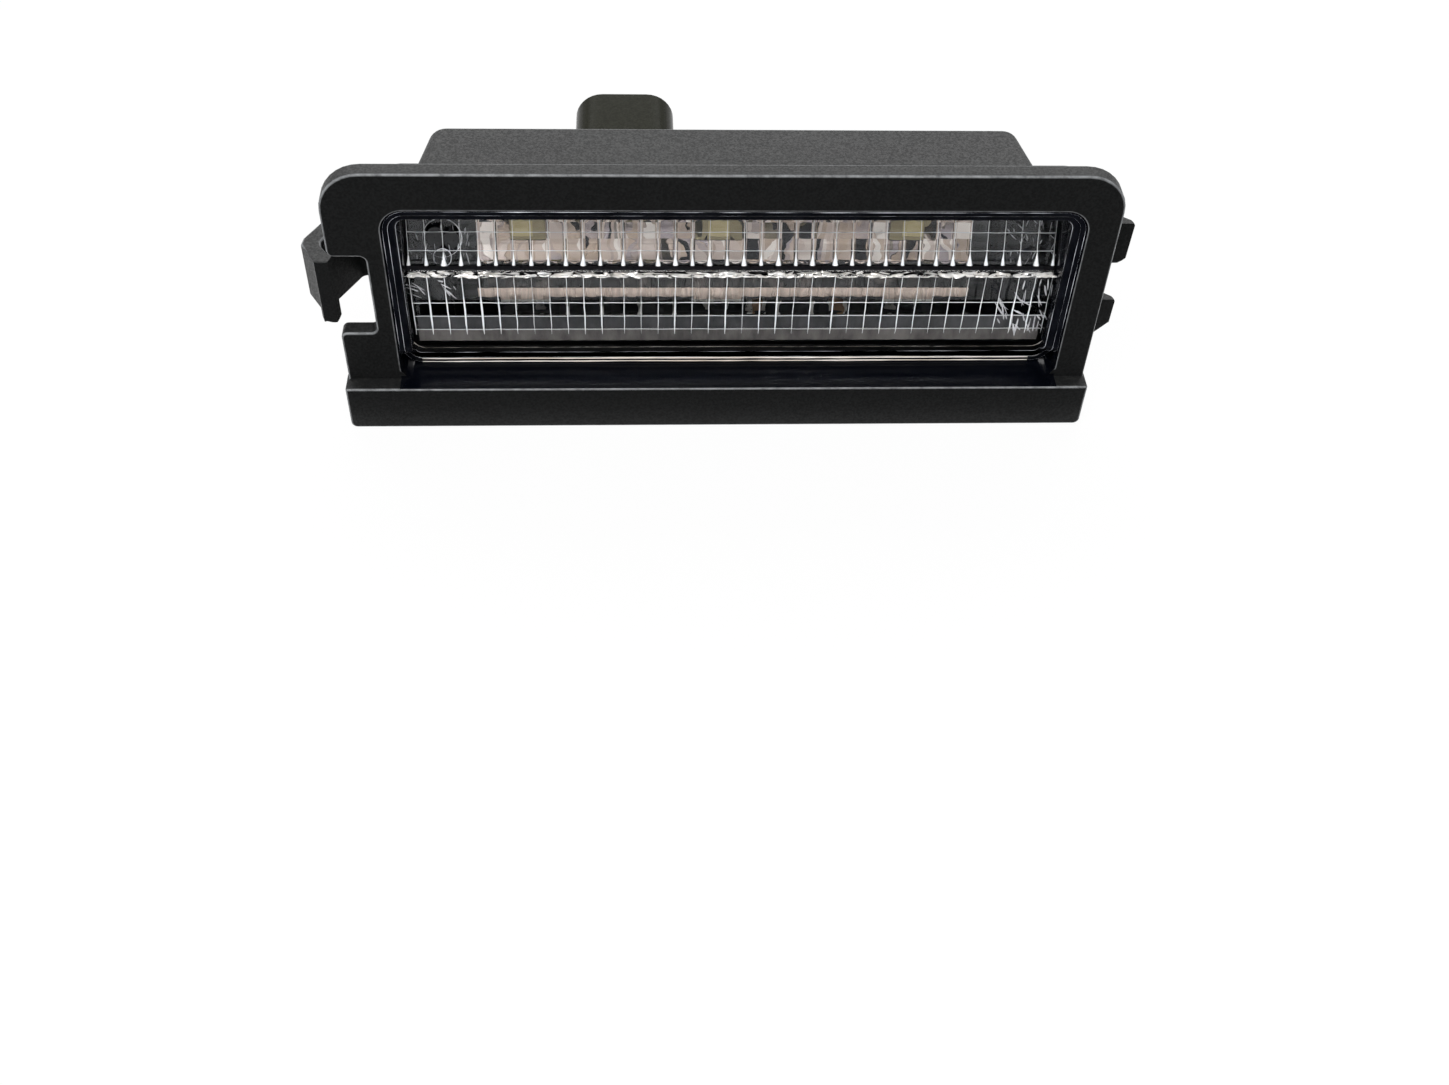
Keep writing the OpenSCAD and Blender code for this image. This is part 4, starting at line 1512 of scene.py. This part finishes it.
        # Pale streaky facets paint swirls of reflected light at both ends.
        swirl_reflection = Fine(
            "end_painted_reflection", (0.3, 0.3, 0.32), (0.95, 0.96, 1.0), (0.08, 0.25), metal=0.3, scale=900.0,
        ).make()
        slight = (-0.2, 0.2)
        for swirl in (
            Facets("right_painted_swirls", 34, (right, skin, below),
                   (slight, (0.5, 1.7), slight), ((0.3, 1.5), (0.02, 0.05), (0.03, 0.13)), 31),
            Facets("right_streaks", 34, (right, skin, above),
                   (slight, (0.7, 1.9), slight), ((0.2, 0.8), (0.02, 0.05), (0.02, 0.08)), 37),
            Facets("left_painted_swirls", 14, ((first, first + 5.5 * MM), skin, (14.0 * MM, 17.6 * MM)),
                   (slight, (0.2, 1.3), slight), ((0.3, 1.2), (0.02, 0.05), (0.02, 0.09)), 47),
            Facets("left_streaks", 26, ((first, first + 6.5 * MM), skin, above),
                   ((-0.1, 0.1), (1.3, 1.85), (-0.1, 0.1)), ((0.2, 0.9), (0.02, 0.05), (0.02, 0.08)), 53),
        ):
            swirl.build(self, swirl_reflection)

    def build_strips(self) -> None:
        """Makes the dark line above the crease, the frosted foot and the hazy row over it."""
        y, rows = self.field_y, self.low_rows
        dark = Fine("crease_shadow", (0.002, 0.002, 0.003), (0.006, 0.006, 0.008), (0.2, 0.4)).make()
        frost = Fine(
            "foot_frost", (0.06, 0.055, 0.052), (0.2, 0.185, 0.175), (0.3, 0.5),
            scale=700.0, stretch=(1.0, 1.0, 0.35),
        ).make()
        haze = Fine(
            "foot_haze", (0.018, 0.019, 0.022), (0.08, 0.08, 0.085), (0.25, 0.5),
            scale=500.0, stretch=(1.0, 1.0, 0.5),
        ).make()
        line = [self.on_slope(along) for along in self.dark_line]
        foot = [(y, rows[0] + 0.05 * MM), (y, rows[1] - 0.12 * MM)]
        row = [(y, rows[number] - 0.1 * MM) for number in (1, 2)]
        self.flat_strip("crease_line", line, (-0.01 * MM, 0.35 * MM), 0.3 * MM, dark)
        self.flat_strip("foot_band", foot, (0.5 * MM, 0.7 * MM), -0.2 * MM, frost)
        self.flat_strip("row_haze", row, (0.55 * MM, 0.7 * MM), -0.3 * MM, haze)
        self.build_eyes(dark)

    def flat_strip(self, name: str, ends: list[Span], depths: Span, past: float, finish: Finish) -> None:
        """Makes a flat strip across the grid.

        Args:
            name: the strip's name.
            ends: depth and height of its lower and its upper edge.
            depths: how far its front and its back lie behind them.
            past: how far it runs past the grid's ends.
            finish: its material.
        """
        sides = (self.columns[0] - past, self.columns[-1] + past)
        corners = [(x, y + depth, z) for x, (y, z), depth in product(sides, ends, depths)]
        hand_over(hull_piece(name, corners), Slot.LENS, finish)

    def build_eyes(self, dark: Finish) -> None:
        """Makes the round moulded bosses at the left end: their middles painted dark as the shade in a hole,
        their rims painted highlights that are brighter on one side.

        Args:
            dark: the painted shadow finish of their middles.
        """
        centre = self.columns[0] + 2 * self.pitch
        bosses = []
        for aside, along, radius in self.eyes:
            x = centre + aside
            ring = [
                (x + radius * math.cos(a), *self.on_slope(along + radius * self.eye_stretch * math.sin(a)))
                for a in turns(20)
            ]
            bosses.append([(px, py + depth, pz) for (px, py, pz), depth in product(ring, self.eye_depths)])
        # Dark middles: painted shade in a hole.
        hand_over(hull_piece("boss_eyes", *bosses), Slot.LENS, dark)
        lines = Lines()
        for aside, along, radius in self.eye_rims:
            path = []
            for a in turns(28):
                y, z = self.on_slope(along + radius * math.sin(a))
                path.append((centre + aside + radius * math.cos(a), y + 0.08 * MM, z))
            lines.trace(path, [max(0.1, 0.5 + 0.5 * math.cos(a - 0.8)) for a in turns(28)], closed=True)
        # Pale beads paint the highlights on the boss rims, thicker on one side.
        rim = Fine("boss_rim_highlight", (0.55, 0.56, 0.58), (0.95, 0.96, 1.0), (0.1, 0.3)).make()
        lines.bead("boss_rims", Slot.LENS, rim, *self.eye_bead)

    def build(self) -> None:
        """Makes the lens, the painted glints on the lines between its cells and what shows in it."""
        clear = ClearOptic("clear_optic").make()
        optic = run_tree(link_piece("lens_optic", self.shell()), TREES.pillows, {
            "Bulge": self.groove, "Wobble": self.wobble, "Material": clear,
        })
        hand_over(optic, Slot.LENS, clear, "lens")
        # White beads paint the glints that the grooves between cells catch.
        frosted = Fine("groove_painted_glint", (0.9, 0.95, 1.0), (1.0, 1.0, 1.0), (0.1, 0.3), metal=0.05).make()
        self.groove_lines().bead("lens_lines", Slot.LENS, frosted, *self.line_bead)
        # Warm and white beads paint highlights along the rim.
        warm = Fine(
            "rim_glint", (0.45, 0.36, 0.28), (1.0, 0.98, 0.95), (0.1, 0.3),
            scale=900.0, stretch=(0.1, 1.0, 2.0),
        ).make()
        self.rim_edges().bead("rim_glints", Slot.LENS, warm, *self.rim_bead)
        self.build_crease()
        self.build_strips()


@dataclass
class WindowLip:
    """The polished, stepped ring that frames the lens inside the window.

    The profile is drawn in millimetres: how far in from the window's wall, and how far behind
    the front. Each glint names a point of it, with its girth at the sides and at the foot.
    """

    gap: float = 0.1 * MM
    front: float = -1.9 * MM
    foot_front: float = 0.62 * MM
    foot_reach: Span = (6.6 * MM, 9.5 * MM)
    clear_of_lens: float = 0.02 * MM
    low_radius: float = 2.0 * MM
    high_radius: float = 2.5 * MM
    turn_steps: int = 8
    step: float = 0.6 * MM
    sharp: float = math.radians(50)
    profile: tuple[Span, ...] = (
        (0.0, 0.1), (0.05, 0.02), (0.12, 0.0), (0.5, 0.0), (0.58, 0.03), (0.63, 0.14), (0.7, 0.2),
        (1.12, 0.24), (1.28, 0.32), (1.38, 0.55), (1.42, 99.0), (0.0, 99.0),
    )
    glints: tuple[tuple[int, float, float], ...] = ((2, 0.9, 0.9), (5, 0.75, 0.35), (9, 0.8, 0.4))
    glint_foot: Span = (8.5 * MM, 6.8 * MM)
    glint_proud: float = 0.01 * MM
    glint_bead: tuple[float, float, float] = (0.035 * MM, 0.04 * MM, 200.0)

    def __post_init__(self) -> None:
        """Reads the lens that it frames."""
        self.lens = Lens()
        low, high = self.lens.low, self.lens.high
        self.box = (low.x - self.gap, low.z - self.gap, high.x + self.gap, high.z + self.gap)

    def outline(self, inset: float) -> list[Span]:
        """Draws the window's rounded outline.

        Args:
            inset: how far it is drawn inwards.

        Returns:
            Its points.
        """
        x0, z0, x1, z1 = self.box
        low, high, step = self.low_radius, self.high_radius, self.step
        path = [(x, z0 + inset) for x in steps_between(x0 + low, x1 - low, step)]
        path += self.turn(x1 - low, z0 + low, low - inset, -90)
        path += [(x1 - inset, z) for z in steps_between(z0 + low, z1 - high, step)][1:]
        path += self.turn(x1 - high, z1 - high, high - inset, 0)
        path += [(x, z1 - inset) for x in steps_between(x1 - high, x0 + high, step)][1:]
        path += self.turn(x0 + high, z1 - high, high - inset, 90)
        path += [(x0 + inset, z) for z in steps_between(z1 - high, z0 + low, step)][1:]
        return path + self.turn(x0 + low, z0 + low, low - inset, 180)[:-1]

    def turn(self, x: float, z: float, radius: float, start: float) -> list[Span]:
        """Returns the points of one quarter turn about a centre."""
        angles = [math.radians(start + 90 * n / self.turn_steps) for n in range(self.turn_steps + 1)]
        return [(x + radius * math.cos(a), z + radius * math.sin(a)) for a in angles]

    def depth(self, z: float, sunk: float) -> float:
        """Returns the depth of a place that lies so far behind the ring's front, at most at the lens."""
        front = self.foot_front + smooth(z, *self.foot_reach) * (self.front - self.foot_front)
        return min(front + sunk * MM, self.lens.rim_depth(z) - self.clear_of_lens)

    def ring(self) -> bpy.types.Mesh:
        """Builds the closed ring.

        Returns:
            The mesh.
        """
        work = bmesh.new()
        loops = [
            [work.verts.new((x, self.depth(z, sunk), z)) for x, z in self.outline(inset * MM)]
            for inset, sunk in self.profile
        ]
        count = len(loops[0])
        for here, there in zip(loops, loops[1:] + loops[:1]):
            for n in range(count):
                work.faces.new((here[n], here[(n + 1) % count], there[(n + 1) % count], there[n]))
        bmesh.ops.recalc_face_normals(work, faces=work.faces)
        mesh = cast("window_lip", work)
        mesh.shade_smooth()
        mesh.set_sharp_from_angle(angle=self.sharp)
        return mesh

    def glint_lines(self) -> Lines:
        """Traces the broken painted highlights along the ring's edges.

        Returns:
            The lines.
        """
        lines = Lines()
        for number, weight, foot_weight in self.glints:
            inset, sunk = self.profile[number]
            path = self.outline(inset * MM)
            girths = []
            for x, z in path:
                patch = 0.35 + 1.7 * noise.noise(Vector((x * 300, number * 7.3, z * 300)))
                girth = weight + (foot_weight - weight) * smooth(z, *self.glint_foot)
                girths.append(girth * max(0.06, patch))
            edge = [(x, self.depth(z, sunk) - self.glint_proud, z) for x, z in path]
            lines.trace(edge, girths, closed=True)
        return lines

    def build(self) -> None:
        """Makes the ring and the painted highlights on it."""
        gloss = Moulding(
            "polished_lip", (0.002, 0.0024, 0.004), (0.01, 0.011, 0.014),
            rough=(0.07, 0.14), sheen_level=0.35, grain=500.0, grain_depth=0.06, wear=0.0, dust=0.0,
        ).make()
        hand_over(link_piece("window_lip", self.ring()), Slot.HOUSING, gloss)
        # Pale beads paint the highlights on the ring's edges.
        pale = Fine("lip_glint", (0.35, 0.37, 0.42), (0.9, 0.93, 1.0), (0.08, 0.25), scale=700.0).make()
        self.glint_lines().bead("lip_glints", Slot.HOUSING, pale, *self.glint_bead)


@dataclass
class Housing:
    """The black moulding with its flange, window, box, latch and lugs."""

    rounding: Rounding = Rounding(0.26 * MM, merge=0.015 * MM)

    def build(self) -> None:
        """Makes the rounded housing."""
        # The strongly weighted pale edges are partly rubbing and partly painted bright edge highlights.
        finish = PolishedWell(
            "grained_housing", (0.0051, 0.0054, 0.0055), (0.3, 0.31, 0.32),
            rough=(0.42, 0.58), sheen_level=0.2, wear=0.85, dust=0.04, grain_depth=0.5,
        ).make()
        hand_over(self.rounding.copy("housing", "housing_shell"), Slot.HOUSING, finish, "housing")


@dataclass
class RearCover:
    """The back with the connector shroud, and the breather patch on it."""

    rounding: Rounding = Rounding(0.22 * MM)

    def build(self) -> None:
        """Makes the rounded cover and dresses the patch."""
        # Its pale edges are partly rubbing and partly a painted edge highlight.
        finish = Moulding(
            "cover_moulding", (0.0085, 0.0088, 0.0048), (0.06, 0.057, 0.038),
            rough=(0.16, 0.24), sheen_level=0.02, grain=5000.0, grain_depth=0.06, wear=0.4, dust=0.02,
        ).make()
        hand_over(self.rounding.copy("rear_cover", "rear_cover_shell"), Slot.COVER, finish, "rear_cover")
        weave = Fine("vent_weave", (0.5, 0.51, 0.52), (0.66, 0.67, 0.68), (0.6, 0.8), scale=5000.0)
        dress_node("vent_patch", weave.make())


@dataclass
class LightEngine:
    """The board with its light sources, small parts, reflector, terminals, screws and seal.

    A dark bar, a painted shadow, lies below each light source, its head and foot so far under the
    body, and its front and back so far inside the body's own.
    """

    rounding: Rounding = Rounding(0.08 * MM)
    fillet_drop: Span = (0.12 * MM, 0.3 * MM)
    fillet_inset: Span = (0.1 * MM, 0.02 * MM)

    def build(self) -> None:
        """Makes and dresses the light engine."""
        metal = MetallisingWithPaintedReflections("metallising_painted_reflections").make()
        hand_over(self.rounding.copy("reflector", "reflector_shell"), Slot.REFLECTOR, metal, "reflector")
        dress_node("circuit_board", Laminate("solder_mask").make())
        package = Fine("led_package", (0.3, 0.24, 0.12), (0.42, 0.35, 0.2), (0.3, 0.5)).make()
        gel = Fine("phosphor_gel", (0.52, 0.42, 0.17), (0.74, 0.63, 0.36), (0.15, 0.3), scale=2000.0).make()
        for number in (1, 2, 3):
            dress_node(f"led_body_{number}", package)
            dress_node(f"led_phosphor_{number}", gel)
            self.build_painted_shadow(number)
        dark = CappedChip("chip", (0.012, 0.012, 0.013))
        tan = CappedChip("ceramic", (0.16, 0.1, 0.06))
        for node in ("resistor_1", "resistor_2", "resistor_3", "diode", "surge_suppressor", "driver_chip"):
            dress_node(node, dark.make(node))
        for node in ("capacitor_1", "capacitor_2"):
            dress_node(node, tan.make(node))
        tinned = Fine("tinned_brass", (0.6, 0.5, 0.3), (0.75, 0.68, 0.5), (0.2, 0.4), metal=1.0).make()
        for node in ("terminal_left", "terminal_right"):
            hand_over(self.rounding.copy(node, f"{node}_blade"), Slot.TERMINAL, tinned, node)
        dress_node("terminal_carrier", Fine("natural_nylon", (0.6, 0.55, 0.43), (0.7, 0.66, 0.55)).make())
        zinc = Fine("zinc_plate", (0.45, 0.46, 0.47), (0.6, 0.6, 0.6), (0.25, 0.45), metal=1.0).make()
        hand_over(self.rounding.copy("board_screws", "board_screws_round"), Slot.SCREW, zinc, "board_screws")
        rubber = Fine(
            "seal_bead", (0.004, 0.004, 0.005), (0.009, 0.009, 0.01), (0.3, 0.45), scale=350.0, bump=0.05,
        )
        dress_node("lens_seal", rubber.make())

    def build_painted_shadow(self, number: int) -> None:
        """Makes the dark bar of painted shadow that shows as a line under one light source.

        Args:
            number: which light source it belongs to.
        """
        low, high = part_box(f"led_body_{number}")
        heights = (low.z - self.fillet_drop[1], low.z - self.fillet_drop[0])
        depths = (low.y + self.fillet_inset[0], high.y - self.fillet_inset[1])
        corners = [(x, y, z) for x, z, y in product((low.x, high.x), heights, depths)]
        # A near-black finish paints the shadow under the light source.
        solder = Fine(f"fillet_{number}", (0.004, 0.004, 0.008), (0.012, 0.012, 0.02), (0.3, 0.5)).make()
        hand_over(hull_piece(f"led_fillet_{number}", corners), Slot.LED_BODY, solder)


@dataclass
class Studio:
    """The camera at the photograph's place, the pale floor and the soft lights.

    A softbox is its place, width, height and power in watts; a flag is a black card's corners.
    """

    lens: float = 39.75
    sensor: float = 36.0
    place: Place = (-9.326 * MM, -136.727 * MM, 123.808 * MM)
    right: Place = (0.99851, -0.04342, 0.03317)
    up: Place = (0.00929, 0.73318, 0.67997)
    back: Place = (-0.05385, -0.67865, 0.73249)
    aim: Place = (0.0, 0.0, 0.015)
    softboxes: tuple[tuple[str, Place, float, float, float], ...] = (
        ("back_softbox", (0.0, 0.47, 0.42), 0.9, 0.5, 3.6),
        ("front_softbox", (-0.08, -0.3, 0.46), 0.5, 0.32, 3.2),
    )
    flags: tuple[tuple[str, tuple[Place, ...]], ...] = (
        ("front_flag", ((-0.6, -0.45, 0.0), (0.6, -0.45, 0.0), (0.6, -0.45, 0.4), (-0.6, -0.45, 0.4))),
        ("foot_flag", ((-0.5, -0.45, 0.0), (0.5, -0.45, 0.0), (0.5, -0.006, 0.0), (-0.5, -0.006, 0.0))),
    )
    floor_size: float = 6.0
    floor_drop: float = 0.1 * MM
    floor_paleness: float = 0.94
    sky: float = 0.35

    def build(self) -> None:
        """Makes the whole studio."""
        self.build_camera()
        self.build_floor()
        self.build_world()
        for softbox in self.softboxes:
            self.hang(*softbox)
        for flag in self.flags:
            self.card(*flag)
        bpy.context.scene.view_settings.view_transform = "Standard"

    def build_camera(self) -> None:
        """Places the camera."""
        data = bpy.data.cameras.new("photo_camera")
        data.lens = self.lens
        data.sensor_width = self.sensor
        data.clip_start = 5 * MM
        camera = bpy.data.objects.new("photo_camera", data)
        turn = Matrix((self.right, self.up, self.back)).transposed().to_4x4()
        camera.matrix_world = Matrix.Translation(self.place) @ turn
        bpy.context.scene.collection.objects.link(camera)
        bpy.context.scene.camera = camera

    @staticmethod
    def sheet(
        name: str, corners: Iterable[Place], finish: str, grey: float, rough: float,
    ) -> tuple[Piece, Bench, Node]:
        """Makes a flat sheet with a matt grey finish.

        Args:
            name: the sheet's name.
            corners: its four corners.
            finish: its material's name.
            grey: its colour.
            rough: its roughness.

        Returns:
            The sheet, a bench on its material and its Principled BSDF.
        """
        mesh = bpy.data.meshes.new(name)
        mesh.from_pydata(list(corners), [], [(0, 1, 2, 3)])
        material, bench, skin = new_material(finish)
        skin.inputs["Base Color"].default_value = (grey, grey, grey, 1.0)
        skin.inputs["Roughness"].default_value = rough
        skin.inputs["Specular IOR Level"].default_value = 0.0
        mesh.materials.append(material)
        return link_piece(name, mesh), bench, skin

    def build_floor(self) -> None:
        """Lays the floor, whose paleness the camera sees as plain white with a faint shadow."""
        half = self.floor_size / 2
        corners = [(x * half, y * half, -self.floor_drop) for x, y in ((-1, -1), (1, -1), (1, 1), (-1, 1))]
        floor, bench, skin = self.sheet("floor", corners, "pale_floor", 0.8, 0.9)
        white = bench.node("ShaderNodeEmission", {"Color": (1.0, 1.0, 1.0, 1.0), "Strength": 1.0})
        rays = bench.node("ShaderNodeLightPath").outputs
        shown = bench.maths("MULTIPLY", rays["Is Camera Ray"], self.floor_paleness)
        seen = bench.node("ShaderNodeMixShader", {0: shown, 1: skin.outputs[0], 2: white.outputs[0]})
        bench.join(seen.outputs[0], bench.tree.nodes["Material Output"].inputs["Surface"])

    def card(self, name: str, corners: Iterable[Place]) -> None:
        """Sets up a black card that only shows as a dark reflection.

        Args:
            name: the card's name.
            corners: its four corners.
        """
        card, _, _ = self.sheet(name, corners, f"{name}_black", 0.01, 1.0)
        card.visible_camera = False
        card.visible_diffuse = False
        card.visible_transmission = False
        card.visible_shadow = False

    def build_world(self) -> None:
        """Makes the sky: white to the camera, in gloss and through glass, and softer as light."""
        world = bpy.data.worlds.new("soft_sky")
        world.use_nodes = True
        bench = Bench(world.node_tree)
        ground = world.node_tree.nodes["Background"].inputs
        rays = bench.node("ShaderNodeLightPath").outputs
        kinds = ("Is Camera Ray", "Is Glossy Ray", "Is Transmission Ray")
        plain = bench.total(*((rays[kind], 1) for kind in kinds))
        ground["Color"].default_value = (1.0, 1.0, 1.0, 1.0)
        bench.join(bench.blend(bench.maths("MINIMUM", plain, 1.0), self.sky, 1.0), ground["Strength"])
        bpy.context.scene.world = world

    def hang(self, name: str, place: Place, width: float, height: float, power: float) -> None:
        """Hangs one soft area lamp that faces the part.

        Args:
            name: the lamp's name.
            place: where it hangs.
            width: its width.
            height: its height.
            power: its power in watts.
        """
        data = bpy.data.lights.new(name, "AREA")
        data.shape = "RECTANGLE"
        data.size = width
        data.size_y = height
        data.energy = power
        lamp = bpy.data.objects.new(name, data)
        lamp.location = place
        lamp.rotation_euler = (Vector(self.aim) - Vector(place)).to_track_quat("-Z", "Y").to_euler()
        bpy.context.scene.collection.objects.link(lamp)


def main() -> None:
    """Builds the studio and each sub-assembly in order."""
    logging.basicConfig(level=logging.INFO, format="%(name)s: %(message)s")
    noise.seed_set(7)
    for part in (Studio(), Housing(), RearCover(), LightEngine(), Lens(), WindowLip()):
        part.build()


if __name__ == "__main__":
    main()
